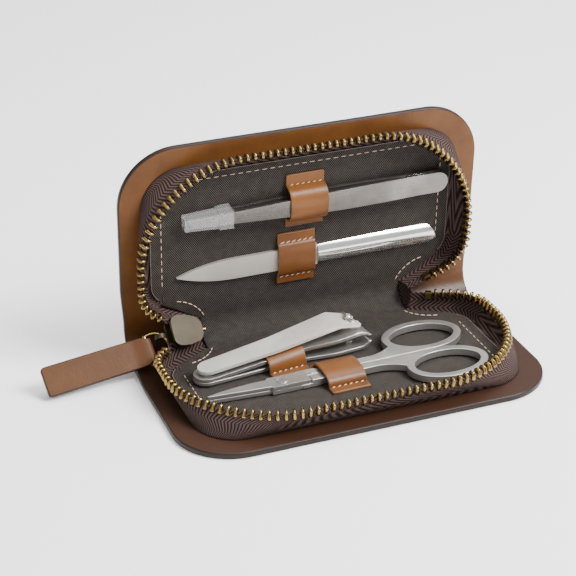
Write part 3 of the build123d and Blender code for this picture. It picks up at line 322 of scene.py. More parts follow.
# ------------------------------------------------------------------ shape of the case
@dataclass(frozen=True)
class CaseShape:
    """Sizes of the case in millimetres and the formulas of its bent and ruled surfaces."""

    panel_length: float = 124.2
    panel_depth: float = 63.4
    panel_corner: float = 19.3
    panel_waist: float = 122.6
    waist_run: float = 15.4
    leather: float = 2.0
    half_height: float = 10.5
    lid_angle: float = 85.0
    floor: float = 3.3
    seam: tuple[float, ...] = (109.8, 56.4, 13.7, 73.0, 15.0)
    chain: tuple[float, ...] = (116.0, 60.8, 39.5, 77.0, 17.1)
    end_angle: float = 25.0
    tape: float = 0.7
    tape_top: float = 9.6
    tooth_pitch: float = 2.5
    row_gap: float = 2.2
    slider_reach: float = 51.65

    @property
    def hinge_y(self) -> float:
        """The hinge line's place across the case."""
        return self.panel_depth / 2

    @property
    def turn(self) -> float:
        """Angle of the spine's arc from base to lid."""
        return math.pi - math.radians(self.lid_angle)

    @property
    def spine_run(self) -> float:
        """Length of the spine on its outer face."""
        return self.half_height * self.turn

    def wrap(self, u: Array, s: Array, w: Array) -> Array:
        """Bends flat coordinates round the spine.

        s < 0 lies on the base at v = -s, 0..spine_run on the arc about the hinge line, where
        angle = s / spine_run * turn and radius = half height - w, and beyond that on the lid.

        Args:
            u: Place along the hinge.
            s: Place across it, from the base's end of the spine.
            w: Height from the outer face.

        Returns:
            Points in the row frame.
        """
        angle = np.clip(s / self.spine_run, 0, 1) * self.turn
        radius = self.half_height - w
        base, lid = np.maximum(-s, 0), np.maximum(s - self.spine_run, 0)
        lift = math.radians(self.lid_angle)
        y = self.hinge_y + radius * np.sin(angle) - base - lid * math.cos(lift)
        z = self.half_height - radius * np.cos(angle) + lid * math.sin(lift)
        return np.stack([u, y, z], -1)

    def place(self, half: Half, u: Array, v: Array, w: Array) -> Array:
        """Points of a half's flat coordinates u, v, w in the row frame.

        Args:
            half: The half of the case.
            u: Place along the hinge.
            v: Place away from the hinge.
            w: Height from the outer face.

        Returns:
            Points in the row frame.
        """
        u, v, w = np.broadcast_arrays(np.asarray(u, float), v, w)
        if half is Half.BASE:
            return np.stack([u, self.hinge_y - v, w], -1)
        lift = math.radians(self.lid_angle)
        rise = self.half_height - w
        y = self.hinge_y + rise * math.sin(lift) - v * math.cos(lift)
        z = self.half_height + rise * math.cos(lift) + v * math.sin(lift)
        return np.stack([u, y, z], -1)

    def inward(self, half: Half) -> Array:
        """Unit normal of a half's floor, into the tray."""
        points = self.place(half, 0.0, 0.0, np.array([0.0, 1.0]))
        return points[1] - points[0]

    def panel_rows(self, inset: float) -> Array:
        """The panel's half width and depth, from the hinge line to the free edge.

        The waist follows the smooth step, the corner x = c + r cos a, v = d + r sin a.

        Args:
            inset: Distance inside the outline.

        Returns:
            Rows of (half width, v).
        """
        half, depth = self.panel_length / 2 - inset, self.panel_depth - inset
        corner, waist = self.panel_corner - inset, self.panel_waist / 2 - inset
        near = np.linspace(0, self.waist_run, 9)
        straight = np.linspace(self.waist_run, depth - corner, 10)[1:]
        angle = np.linspace(0, math.pi / 2, 25)[1:]
        x = np.concatenate([lerp(waist, half, smooth(near / self.waist_run)), np.full(9, half),
                            half - corner + corner * np.cos(angle)])
        v = np.concatenate([near, straight, depth - corner + corner * np.sin(angle)])
        return np.stack([x, v], -1)

    def run(self, q: Array, height: Array | float, inset: Array | float) -> Array:
        """The zip's outline at one height: nine edges, q = 0 at the left end and 9 at the right.

        Straight end, shoulder arc, straight side, corner arc and front, then the same back.
        All sizes go in a straight line from the seam's, on the leather, to the chain's.

        Args:
            q: Edge number and share of the edge.
            height: Height from the outer face.
            inset: Distance inside the outline.

        Returns:
            Points (u, v).
        """
        share = (height - self.leather) / (self.half_height - self.leather)
        length, depth, corner, end, shoulder = (
            lerp(a, b, share) for a, b in zip(self.seam, self.chain))
        bend = math.radians(self.end_angle)
        half, depth, corner = length / 2 - inset, depth - inset, corner - inset
        end = end / 2 - inset / math.sin(bend)
        radius = (shoulder / math.tan(bend) - (half - end)) / (1 / math.sin(bend) - 1)
        t = np.minimum(q, 9 - q)
        beta = np.clip(2 - t, 0, 1) * (math.pi / 2 - bend)
        gamma = np.clip(t - 3, 0, 1) * math.pi / 2
        front = half - corner
        x = np.select(
            [t < 1, t < 2, t < 3, t < 4],
            [lerp(end, half - radius * (1 - math.sin(bend)), t),
             half - radius + radius * np.cos(beta),
             half + 0 * t, front + corner * np.cos(gamma)],
            front * (1 - 2 * (t - 4)),
        )
        v = np.select(
            [t < 1, t < 2, t < 3, t < 4],
            [lerp(0, shoulder - radius * math.cos(bend), t), shoulder - radius * np.sin(beta),
             lerp(shoulder, depth - corner, t - 2), depth - corner + corner * np.sin(gamma)],
            depth + 0 * t,
        )
        return np.stack([np.where(q <= 4.5, -x, x), v], -1)

    def wall(self, q: Array, share: Array, inset: Array) -> tuple[Array, Array, Array]:
        """A point of the leaning tape wall: straight from its foot to its top edge.

        Args:
            q: Place along the zip.
            share: 0 at the leather, 1 at the top edge.
            inset: Distance inside the outer face.

        Returns:
            u, v and w.
        """
        bulge = inset - 0.45 * np.sin(math.pi * np.clip(share, 0, 1))
        foot, top = self.run(q, self.leather, bulge), self.run(q, self.tape_top, bulge)
        uv = lerp(foot, top, share[..., None])
        return uv[..., 0], uv[..., 1], lerp(self.leather, self.tape_top, share)

    def evenly(self, count: int, first: float, last: float) -> Array:
        """Places q at equal steps of length on the chain line between two places.

        Args:
            count: Number of places.
            first: First place q.
            last: Last place q.

        Returns:
            The places q.
        """
        fine = np.linspace(first, last, 2000)
        points = self.run(fine, self.half_height, self.tape / 2)
        length = np.concatenate([[0], np.cumsum(np.linalg.norm(np.diff(points, axis=0), axis=1))])
        return np.interp(np.linspace(0, length[-1], count), length, fine)

    def lining_rows(self, inset: float) -> Array:
        """The lining's half width and depth, along the foot of the zip wall.

        It keeps 0.3 mm from the wall's foot at the zip's ends and 2.6 mm along its sides.

        Args:
            inset: Distance inside the lining's edge.

        Returns:
            Rows of (half width, v).
        """
        q = np.concatenate([np.linspace(0, 1, 7), np.linspace(1, 2, 13)[1:],
                            np.linspace(2, 3, 12)[1:],
                            np.linspace(3, 4, 19)[1:]])
        margin = lerp(0.3, 2.6, smooth(q / 1.9))
        uv = self.run(q, self.leather, margin + inset)
        rows = np.stack([-uv[:, 0], uv[:, 1]], -1)
        rows[:, 1] = np.maximum.accumulate(rows[:, 1])
        return rows

    def sheet(self, rows: Callable[[float], Array], columns: int,
              spine_steps: int) -> Callable[[float], Array]:
        """A grid over base, spine and lid: columns from side to side of rows of a half width.

        Args:
            rows: Gives rows of (half width, v) for an inset.
            columns: Points from side to side.
            spine_steps: Steps over the spine's arc.

        Returns:
            The grid as a function of the inset.
        """

        def grid(inset: float) -> Array:
            """Base rows from the free edge, spine rows, then the lid's rows.

            Args:
                inset: Distance inside the outline.

            Returns:
                Rows x columns of (u, s).
            """
            half = rows(inset)
            across = np.linspace(-1, 1, columns)
            spine = np.linspace(0, self.spine_run, spine_steps + 1)[1:-1]
            width = np.concatenate([half[::-1, 0], np.full(len(spine), half[0, 0]), half[:, 0]])
            s = np.concatenate([-half[::-1, 1], spine, self.spine_run + half[:, 1]])
            return np.stack([width[:, None] * across, np.repeat(s[:, None], columns, 1)], -1)

        return grid

    @property
    def bend_line(self) -> tuple[Vector, Vector]:
        """Where a piece leaves the base and joins the lid: the two ends of the spine's chord."""
        ends = self.wrap(np.zeros(2), np.array([0.0, self.spine_run]), np.full(2, 1.0))
        return Vector(ends[0] * MM), Vector(ends[1] * MM)


# ------------------------------------------------------------------ shader graphs
class Graph:
    """Adds nodes to one node tree and links them."""

    def __init__(self, tree: bpy.types.NodeTree) -> None:
        """Starts on an existing tree."""
        self.tree = tree

    def node(self, kind: str, inputs: dict | None = None, **settings: object) -> bpy.types.Node:
        """Adds a node, sets its properties and its inputs by name or number.

        Args:
            kind: Node type without the ShaderNode prefix.
            inputs: Sockets or values for its inputs.
            settings: Properties of the node.

        Returns:
            The node.
        """
        made = self.tree.nodes.new("ShaderNode" + kind)
        for key, value in settings.items():
            setattr(made, key, value)
        for key, value in (inputs or {}).items():
            if isinstance(value, bpy.types.NodeSocket):
                self.tree.links.new(value, made.inputs[key])
            else:
                made.inputs[key].default_value = value
        return made

    def math(self, operation: str, a: object, b: object = 0.0,
             c: object = 0.0) -> bpy.types.NodeSocket:
        """One arithmetic step."""
        return self.node("Math", {0: a, 1: b, 2: c}, operation=operation).outputs[0]

    def noise(self, vector: object, scale: float, detail: float = 3.0,
              rough: float = 0.5) -> bpy.types.NodeSocket:
        """Noise from 0 to 1."""
        return self.node("TexNoise", {"Vector": vector, "Scale": scale, "Detail": detail,
                                      "Roughness": rough}).outputs[0]

    def mix(self, share: object, a: object, b: object, blend: str = "MIX") -> bpy.types.NodeSocket:
        """A colour between a and b."""
        a, b = (c if isinstance(c, bpy.types.NodeSocket) else (*c, 1.0) for c in (a, b))
        return self.node("Mix", {0: share, 6: a, 7: b}, data_type="RGBA",
                         blend_type=blend).outputs[2]

    def span(self, value: object, low: float, high: float, to_low: float = 0.0,
             to_high: float = 1.0) -> bpy.types.NodeSocket:
        """Maps a range to another, held to its ends."""
        return self.node("MapRange", {0: value, 1: low, 2: high, 3: to_low, 4: to_high}).outputs[0]

    def scaled(self, vector: object, scale: tuple[float, float, float],
               turn: float = 0.0) -> bpy.types.NodeSocket:
        """A vector scaled, and turned about Z."""
        return self.node("Mapping", {"Vector": vector, "Scale": scale,
                                     "Rotation": (0, 0, turn)}).outputs[0]

    def split(self, vector: object) -> bpy.types.NodeOutputs:
        """The X, Y and Z of a vector."""
        return self.node("SeparateXYZ", {0: vector}).outputs


def shader_group(name: str, inputs: dict[str, float], outputs: Sequence[str],
                 fill: Callable[[Graph, dict], dict]) -> bpy.types.NodeTree:
    """Builds a shared node group once.

    Args:
        name: Name of the group.
        inputs: Its float inputs with their defaults, besides the vector "Place".
        outputs: Names of its value outputs.
        fill: Builds the inside from a graph and the input sockets, and returns the outputs.

    Returns:
        The node group.
    """
    if name in bpy.data.node_groups:
        return bpy.data.node_groups[name]
    tree = bpy.data.node_groups.new(name, "ShaderNodeTree")
    tree.interface.new_socket("Place", in_out="INPUT", socket_type="NodeSocketVector")
    for key, value in inputs.items():
        tree.interface.new_socket(
            key, in_out="INPUT", socket_type="NodeSocketFloat").default_value = value
    for key in outputs:
        tree.interface.new_socket(key, in_out="OUTPUT", socket_type="NodeSocketFloat")
    enter, leave = tree.nodes.new("NodeGroupInput"), tree.nodes.new("NodeGroupOutput")
    made = fill(Graph(tree), {s.name: s for s in enter.outputs if s.name})
    for key, socket in made.items():
        tree.links.new(socket, leave.inputs[key])
    return tree


def grain_group() -> bpy.types.NodeTree:
    """Leather: pores, soft creases and mottling.

    Returns:
        The node group.
    """

    def fill(g: Graph, i: dict) -> dict:
        """Pores and creases as height, with a fine and a coarse mask.

        Args:
            g: Graph of the group's inside.
            i: Its input sockets by name.

        Returns:
            Its outputs by name.
        """
        pores = g.node("TexVoronoi", {"Vector": i["Place"], "Scale": i["Pores"]},
                       feature="SMOOTH_F1")
        crease = g.noise(i["Place"], 380.0, 5.0, 0.65)
        mottle = g.noise(i["Place"], 75.0, 4.0, 0.6)
        patch = g.noise(i["Place"], 22.0, 2.0, 0.5)
        height = g.math("ADD", g.math("MULTIPLY", pores.outputs[0], 0.6),
                        g.math("MULTIPLY", crease, 0.9))
        return {"Height": height, "Mottle": g.span(mottle, 0.32, 0.7),
                "Patch": g.span(patch, 0.35, 0.65)}

    return shader_group("leather_grain", {"Pores": 1800.0}, ("Height", "Mottle", "Patch"), fill)


def twill_group() -> bpy.types.NodeTree:
    """Twill: small cells in rows and columns, light where (row + column) mod 2 is 0.

    Returns:
        The node group.
    """

    def fill(g: Graph, i: dict) -> dict:
        """A round bump sin(pi x) sin(pi y) in each cell, higher in every other one.

        Args:
            g: Graph of the group's inside.
            i: Its input sockets by name.

        Returns:
            Its outputs by name.
        """
        x, y, _ = g.split(i["Place"])
        x, y = g.math("DIVIDE", x, i["Cell"]), g.math("DIVIDE", y, i["Cell"])
        column, row = g.math("FLOOR", x), g.math("FLOOR", y)
        order = g.math("FLOORED_MODULO", g.math("ADD", column, row), 2.0)
        lifted = g.math("LESS_THAN", order, 0.5)
        bump_x = g.math("SINE", g.math("MULTIPLY", g.math("FRACT", x), math.pi))
        bump_y = g.math("SINE", g.math("MULTIPLY", g.math("FRACT", y), math.pi))
        round_ = g.math("POWER", g.math("MULTIPLY", bump_x, bump_y), 0.9)
        fleck = g.math("MULTIPLY", round_, lifted)
        uneven = g.noise(i["Place"], 0.35, 3.0, 0.6)
        return {"Fleck": fleck, "Height": g.math("MULTIPLY", round_, g.math("ADD", lifted, 0.35)),
                "Uneven": g.span(uneven, 0.3, 0.7)}

    return shader_group("twill_weave", {"Cell": 0.5}, ("Fleck", "Height", "Uneven"), fill)


def brush_group() -> bpy.types.NodeTree:
    """Metal: fine brush marks along X, faint smudges and rubbed spots.

    Returns:
        The node group.
    """

    def fill(g: Graph, i: dict) -> dict:
        """Noise drawn out along X, and slow noise for the smudges.

        Args:
            g: Graph of the group's inside.
            i: Its input sockets by name.

        Returns:
            Its outputs by name.
        """
        drawn = g.scaled(i["Place"], (25.0, 1400.0, 1400.0))
        marks = g.noise(drawn, 1.0, 4.0, 0.7)
        smudge = g.noise(i["Place"], 90.0, 3.0, 0.55)
        height = g.math("MULTIPLY", marks, i["Depth"])
        return {"Height": height, "Marks": marks, "Smudge": g.span(smudge, 0.35, 0.68)}

    return shader_group("brush_marks", {"Depth": 1.0}, ("Height", "Marks", "Smudge"), fill)


@dataclass(frozen=True)
class Finish:
    """What every finish has: a name and a plain principled shader."""

    name: str

    def start(self) -> tuple[Graph, bpy.types.Node, bpy.types.Material]:
        """Makes the material with its shader and output.

        Returns:
            The graph, the shader and the material.
        """
        material = bpy.data.materials.new(self.name)
        material.use_nodes = True
        material.node_tree.nodes.clear()
        graph = Graph(material.node_tree)
        shader = graph.node("BsdfPrincipled")
        graph.node("OutputMaterial", {"Surface": shader.outputs[0]})
        return graph, shader, material

    @staticmethod
    def place(g: Graph) -> bpy.types.NodeSocket:
        """Object coordinates."""
        return g.node("TexCoord").outputs["Object"]

    @staticmethod
    def bump(g: Graph, shader: bpy.types.Node, height: bpy.types.NodeSocket, strength: float,
             distance: float) -> None:
        """Feeds a height to the shader's normal."""
        made = g.node("Bump", {"Strength": strength, "Distance": distance, "Height": height})
        g.tree.links.new(made.outputs[0], shader.inputs["Normal"])


@dataclass(frozen=True)
class Leather(Finish):
    """Smooth vegetable-tanned leather with painted edges."""

    pale: Colour = (0.135, 0.052, 0.0125)
    deep: Colour = (0.055, 0.019, 0.005)
    paint: Colour = (0.014, 0.008, 0.006)
    shade_by_height: bool = False
    coat: float = 0.06
    rough: float = 0.42
    gloss: float = 0.2

    def build(self) -> bpy.types.Material:
        """Colour from mottle and patches, painted shade darker towards the bottom of the base,
        paint on the rim.

        Returns:
            The material.
        """
        g, shader, material = self.start()
        place = self.place(g)
        grain = g.node("Group", {"Place": place, "Pores": 1800.0}, node_tree=grain_group())
        colour = g.mix(g.math("MULTIPLY", grain.outputs["Mottle"], 0.6), self.pale, self.deep)
        colour = g.mix(g.math("MULTIPLY", grain.outputs["Patch"], 0.45), colour, self.deep)
        if self.shade_by_height:
            # painted shade: below 12 mm height the colour is mixed towards a deep brown, darkest
            # near the floor
            low = g.span(g.split(place)[2], 0.012, 0.002)
            colour = g.mix(g.math("MULTIPLY", low, 0.9), colour, (0.026, 0.0115, 0.0075))
        rim = g.node("Attribute", attribute_name="rim").outputs["Fac"]
        colour = g.mix(rim, colour, self.paint)
        g.tree.links.new(colour, shader.inputs["Base Color"])
        rough = g.span(grain.outputs["Mottle"], 0.0, 1.0, self.rough - 0.06, self.rough + 0.08)
        g.tree.links.new(rough, shader.inputs["Roughness"])
        shader.inputs["Specular IOR Level"].default_value = self.gloss
        shader.inputs["Coat Weight"].default_value = self.coat
        shader.inputs["Coat Roughness"].default_value = 0.35
        self.bump(g, shader, grain.outputs["Height"], 0.22, 0.00025)
        return material


@dataclass(frozen=True)
class Twill(Finish):
    """Near-black twill with light flecks, on the piece's own flat coordinates."""

    dark: Colour = (0.0012, 0.0009, 0.0008)
    light: Colour = (0.19, 0.16, 0.14)
    cell: float = 0.37

    def build(self) -> bpy.types.Material:
        """Light flecks over dark yarn, a little uneven, turned by 12 degrees.

        Returns:
            The material.
        """
        g, shader, material = self.start()
        flat = g.node("UVMap", uv_map="flat").outputs[0]
        turned = g.scaled(flat, (1.0, 1.0, 1.0), math.radians(12))
        weave = g.node("Group", {"Place": turned, "Cell": self.cell}, node_tree=twill_group())
        share = g.math("MULTIPLY", weave.outputs["Fleck"],
                       g.span(weave.outputs["Uneven"], 0, 1, 0.7, 1.0))
        g.tree.links.new(g.mix(share, self.dark, self.light), shader.inputs["Base Color"])
        shader.inputs["Roughness"].default_value = 0.7
        shader.inputs["Specular IOR Level"].default_value = 0.12
        self.bump(g, shader, weave.outputs["Height"], 0.6, 0.0002)
        return material


@dataclass(frozen=True)
class Herringbone(Finish):
    """Zip tape: slanted yarns that change direction from band to band."""

    dark: Colour = (0.009, 0.0045, 0.0038)
    light: Colour = (0.10, 0.062, 0.055)
    band: float = 2.7
    rib: float = 1.6

    def build(self) -> bpy.types.Material:
        """Ribs at sin 2 pi (run + |height folded by the band|) / rib.

        Returns:
            The material.
        """
        g, shader, material = self.start()
        along, up, _ = g.split(g.node("UVMap", uv_map="flat").outputs[0])
        zigzag = g.math("PINGPONG", up, self.band)
        phase = g.math("DIVIDE", g.math("ADD", along, g.math("MULTIPLY", zigzag, 1.1)), self.rib)
        rib = g.math("ABSOLUTE", g.math("SUBTRACT", g.math("FRACT", phase), 0.5))
        yarn = g.math("SINE", g.math("MULTIPLY", g.math("SUBTRACT", along, zigzag),
                                     2 * math.pi / 0.42))
        share = g.math("MULTIPLY", g.span(rib, 0.12, 0.38), g.span(yarn, -1, 1, 0.55, 1.0))
        g.tree.links.new(g.mix(share, self.dark, self.light), shader.inputs["Base Color"])
        shader.inputs["Roughness"].default_value = 0.75
        shader.inputs["Specular IOR Level"].default_value = 0.15
        self.bump(g, shader, g.math("ADD", rib, g.math("MULTIPLY", yarn, 0.12)), 0.7, 0.0004)
        return material


@dataclass(frozen=True)
class Metal(Finish):
    """Steel or brass: brushed or polished, with smudges."""

    colour: Colour = (0.62, 0.60, 0.57)
    second: Colour = (0.36, 0.345, 0.325)
    rough: float = 0.34
    spread: float = 0.12
    metallic: float = 0.88
    depth: float = 1.0
    strength: float = 0.06

    def build(self) -> bpy.types.Material:
        """Colour and roughness vary with the brush marks and smudges.

        Returns:
            The material.
        """
        g, shader, material = self.start()
        marks = g.node("Group", {"Place": self.place(g), "Depth": self.depth},
                       node_tree=brush_group())
        share = g.math("MULTIPLY_ADD", marks.outputs["Smudge"], 0.5,
                       g.math("MULTIPLY", marks.outputs["Marks"], 0.5))
        g.tree.links.new(g.mix(share, self.colour, self.second), shader.inputs["Base Color"])
        rough = g.span(share, 0.2, 0.8, self.rough - self.spread / 2, self.rough + self.spread / 2)
        g.tree.links.new(rough, shader.inputs["Roughness"])
        shader.inputs["Metallic"].default_value = self.metallic
        self.bump(g, shader, marks.outputs["Height"], self.strength, 0.0001)
        return material


@dataclass(frozen=True)
class FileSteel(Finish):
    """The nail file's pale blade: etched with two crossing sets of fine lines behind its tip."""

    smooth_end: float = -0.033

    def build(self) -> bpy.types.Material:
        """Crossed fine waves, faded out at the smooth tip.

        Returns:
            The material.
        """
        g, shader, material = self.start()
        place = self.place(g)
        x, _, z = g.split(place)
        lines = [
            g.math("SINE", g.math("MULTIPLY", g.math("MULTIPLY_ADD", z, way, x),
                                  2 * math.pi / 0.00085))
            for way in (1.0, -1.0)
        ]
        cut = g.math("MULTIPLY", g.math("ADD", lines[0], 1.0), g.math("ADD", lines[1], 1.0))
        cut = g.math("MULTIPLY", g.math("MULTIPLY", cut, 0.25),
                     g.span(x, self.smooth_end - 0.002, self.smooth_end + 0.002))
        speck = g.noise(place, 2600.0, 2.0, 0.6)
        share = g.math("MULTIPLY_ADD", cut, 0.5, g.math("MULTIPLY", speck, 0.25))
        g.tree.links.new(g.mix(share, (0.58, 0.54, 0.49), (0.13, 0.115, 0.10)),
                         shader.inputs["Base Color"])
        shader.inputs["Metallic"].default_value = 0.6
        shader.inputs["Roughness"].default_value = 0.42
        self.bump(g, shader, cut, 0.35, 0.0001)
        return material


@dataclass(frozen=True)
class Thread(Finish):
    """Twisted sewing thread."""

    colour: Colour = (0.72, 0.50, 0.38)

    def build(self) -> bpy.types.Material:
        """A slight change of tone along the thread.

        Returns:
            The material.
        """
        g, shader, material = self.start()
        tone = g.noise(self.place(g), 900.0, 3.0, 0.6)
        dark = tuple(c * 0.6 for c in self.colour)
        g.tree.links.new(g.mix(tone, self.colour, dark), shader.inputs["Base Color"])
        shader.inputs["Roughness"].default_value = 0.6
        self.bump(g, shader, tone, 0.3, 0.0001)
        return material


@dataclass(frozen=True)
class ClearPlastic(Finish):
    """The tip guard's clear plastic, faintly clouded by handling."""

    def build(self) -> bpy.types.Material:
        """Thin and see-through, with a slightly uneven gloss.

        Returns:
            The material.
        """
        g, shader, material = self.start()
        cloud = g.noise(self.place(g), 260.0, 3.0, 0.6)
        g.tree.links.new(g.span(cloud, 0.3, 0.7, 0.22, 0.34), shader.inputs["Roughness"])
        g.tree.links.new(g.mix(cloud, (0.96, 0.97, 0.97), (0.90, 0.91, 0.92)),
                         shader.inputs["Base Color"])
        shader.inputs["Specular IOR Level"].default_value = 0.25
        shader.inputs["Alpha"].default_value = 0.10
        return material


@dataclass(frozen=True)
class Card(Finish):
    """The stiff board between leather and lining."""

    def build(self) -> bpy.types.Material:
        """Grey-brown pulp with fibres.

        Returns:
            The material.
        """
        g, shader, material = self.start()
        fibre = g.noise(self.place(g), 1200.0, 5.0, 0.7)
        g.tree.links.new(g.mix(fibre, (0.20, 0.16, 0.12), (0.30, 0.25, 0.20)),
                         shader.inputs["Base Color"])
        shader.inputs["Roughness"].default_value = 0.9
        self.bump(g, shader, fibre, 0.3, 0.0002)
        return material


@dataclass(frozen=True)
class Paper(Finish):
    """The studio's pale floor."""

    def build(self) -> bpy.types.Material:
        """Even matt white.

        Returns:
            The material.
        """
        _, shader, material = self.start()
        shader.inputs["Base Color"].default_value = (0.97, 0.97, 0.97, 1.0)
        shader.inputs["Roughness"].default_value = 0.9
        return material


class Finishes:
    """Every finish of the object, built once."""

    def __init__(self) -> None:
        """Builds the materials."""
        self.cover = Leather("cover_leather", shade_by_height=True).build()
        self.loop = Leather("loop_leather", pale=(0.165, 0.060, 0.013), deep=(0.070, 0.023, 0.0055),
                            paint=(0.20, 0.09, 0.035), coat=0.2, rough=0.36).build()
        self.tab = Leather("tab_leather", pale=(0.095, 0.036, 0.0085), deep=(0.045, 0.015, 0.004),
                           paint=(0.016, 0.009, 0.007), coat=0.02, rough=0.5).build()
        self.lining = Twill("lining").build()
        self.tape = Herringbone("zip_tape").build()
        self.steel = Metal("satin_steel").build()
        self.tweezers = Metal("brushed_steel", colour=(0.25, 0.232, 0.212),
                              second=(0.11, 0.10, 0.09),
                              rough=0.30).build()
        self.lever = Metal("lever_steel", colour=(0.82, 0.79, 0.74), second=(0.52, 0.49, 0.45),
                           metallic=0.45).build()
        self.polished = Metal("polished_steel", colour=(0.78, 0.77, 0.75),
                              second=(0.66, 0.65, 0.63),
                              rough=0.14, spread=0.06, strength=0.02).build()
        self.file = FileSteel("file_steel").build()
        self.brass = Metal("antique_brass", colour=(0.34, 0.235, 0.085),
                           second=(0.13, 0.088, 0.032),
                           rough=0.27, spread=0.12, strength=0.03, metallic=1.0).build()
        self.plate = Metal("dull_brass", colour=(0.042, 0.030, 0.012), second=(0.018, 0.012, 0.005),
                           rough=0.5, spread=0.1, strength=0.03, metallic=0.5).build()
        self.thread = Thread("peach_thread").build()
        self.grey_thread = Thread("pale_thread", colour=(0.22, 0.17, 0.14)).build()
        self.clear = ClearPlastic("clear_plastic").build()
        self.card = Card("board").build()


def dress(frame: dict, node: str, material: bpy.types.Material, edge: float = 0.0,
          angle: float = 35.0) -> bpy.types.Object:
    """Gives a solid of the model its finish and, where asked, softly rounded edges.

    Args:
        node: Name of the solid.
        material: Its finish.
        edge: Width of the rounding in millimetres, 0 for none.
        angle: Edges sharper than this are rounded, in degrees.

    Returns:
        The solid's object.
    """
    piece = frame["nodes"][node]
    piece.data.materials.clear()
    piece.data.materials.append(material)
    if edge:
        weld = piece.modifiers.new("join", "WELD")
        weld.merge_threshold = 1e-6
        bevel = piece.modifiers.new("round", "BEVEL")
        bevel.width, bevel.segments, bevel.limit_method = edge * MM, 2, "ANGLE"
        bevel.angle_limit, bevel.use_clamp_overlap = math.radians(angle), True
        bevel.harden_normals = False
        piece.data.polygons.foreach_set("use_smooth", np.ones(len(piece.data.polygons), bool))
        piece.modifiers.new("even", "WEIGHTED_NORMAL").keep_sharp = False
    LOG.info("dressed %s", node)
    return piece


# ------------------------------------------------------------------ leather, lining and zip
@dataclass
class LeatherCover:
    """The one piece of leather that makes base, spine and lid."""

    shape: CaseShape
    edge: float = 0.5
    swell: float = 0.22

    def build(self, finishes: Finishes) -> None:
        """A sheet bent round the spine, its free margins a little wavy.

        Args:
            finishes: Every finish of the object.
        """

        def bend(u: Array, s: Array, w: Array) -> Array:
            """Wraps the leather round the spine and lifts its margins by a slow wave.

            Args:
                u: Place along the hinge.
                s: Place across it.
                w: Height in the sheet.

            Returns:
                Points in the row frame.
            """
            wave = self.swell * np.sin(u / 17 + s / 23) * np.sin(s / 29 + 1.1)
            outside = smooth(
                (np.hypot(u / 62, (np.abs(s - self.shape.spine_run / 2) - 8) / 62) - 0.86) * 6)
            lift = np.where(s > 0, wave * outside, np.maximum(wave, 0) * outside)
            return self.shape.wrap(u, s, np.clip(w + lift * (s > self.shape.spine_run), 0.0, 3.2))

        grid = self.shape.sheet(self.shape.panel_rows, 61, 24)
        piece = plate(grid, self.shape.leather, self.edge, bend).to_object(
            "leather_cover", finishes.cover)
        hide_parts("base_cover", "lid_cover", "spine_cover")
        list(self.shape.bend_line)
        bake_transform(piece)
        LOG.info("built leather_cover")


@dataclass
class Lining:
    """The twill lining of both trays and the spine, with its seams."""

    shape: CaseShape
    thick: float = 0.5
    floor: float = 2.8
    end_centre: tuple[float, float] = (46.0, -4.6)
    end_radius: float = 12.6

    def build(self, finishes: Finishes) -> None:
        """The sheet, its edge thread, and stitched seams on both halves.

        Args:
            finishes: Every finish of the object.
        """
        grid = self.shape.sheet(self.shape.lining_rows, 31, 16)

        def bend(u: Array, s: Array, w: Array) -> Array:
            """Wraps the lining round the spine, at its floor's height."""
            return self.shape.wrap(u, s, self.floor + w)

        piece = plate(grid, self.thick, 0.2, bend, 2).to_object("twill_lining", finishes.lining)
        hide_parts("base_lining", "lid_lining", "spine_lining")
        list(self.shape.bend_line)
        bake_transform(piece)
        rows = self.shape.lining_rows(0.0)
        for half in Half:
            self.seams(half, finishes)
        LOG.info("built twill_lining")

    def seams(self, half: Half, finishes: Finishes) -> None:
        """The sewn line inside the lining's edge and the thin thread on the edge itself.

        Args:
            half: The half of the case.
            finishes: Every finish of the object.
        """
        top = self.shape.floor + 0.02
        q = np.linspace(1.75, 7.25, 500)
        uv = self.shape.run(
            q, self.shape.leather, lerp(6.3, 4.9, smooth(np.minimum(q, 9 - q) - 2.9)))
        line = self.shape.place(half, uv[:, 0], uv[:, 1], top - 0.10)
        sewn = stitches(line, self.shape.inward(half), 2.7, 0.72, 0.17)
        piece = sewn.to_object(f"lining_seam_{half.value}", finishes.thread)
        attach(piece, half.value)
        edge = np.linspace(1.3, 7.7, 400)
        uv = self.shape.run(edge, self.shape.leather, 2.65)
        thread = tube(self.shape.place(half, uv[:, 0], uv[:, 1], top - 0.11),
                      self.shape.inward(half), 0.13)
        piece = thread.to_object(f"edge_thread_{half.value}", finishes.grey_thread)
        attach(piece, half.value)
        for side, name in ((-1, "left"), (1, "right")):
            self.end_seam(half, side, name, finishes)

    def end_seam(self, half: Half, side: int, name: str, finishes: Finishes) -> None:
        """The curved seam round an end of the zip: an arc about a point beyond the hinge.

        Args:
            half: The half of the case.
            side: -1 for the left end, 1 for the right.
            name: The end's word in the piece's name.
            finishes: Every finish of the object.
        """
        (centre_u, centre_v), radius = self.end_centre, self.end_radius
        start, end = math.asin((0.4 - centre_v) / radius), math.radians(81)
        angle = np.linspace(start, end, 60)
        u = side * (centre_u - radius * np.cos(angle))
        v = centre_v + radius * np.sin(angle)
        line = self.shape.place(half, u, v, self.shape.floor + 0.07)
        piece = stitches(line, self.shape.inward(half), 2.2, 0.74, 0.17).to_object(
            f"end_seam_{half.value}_{name}", finishes.thread)
        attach(piece, half.value)


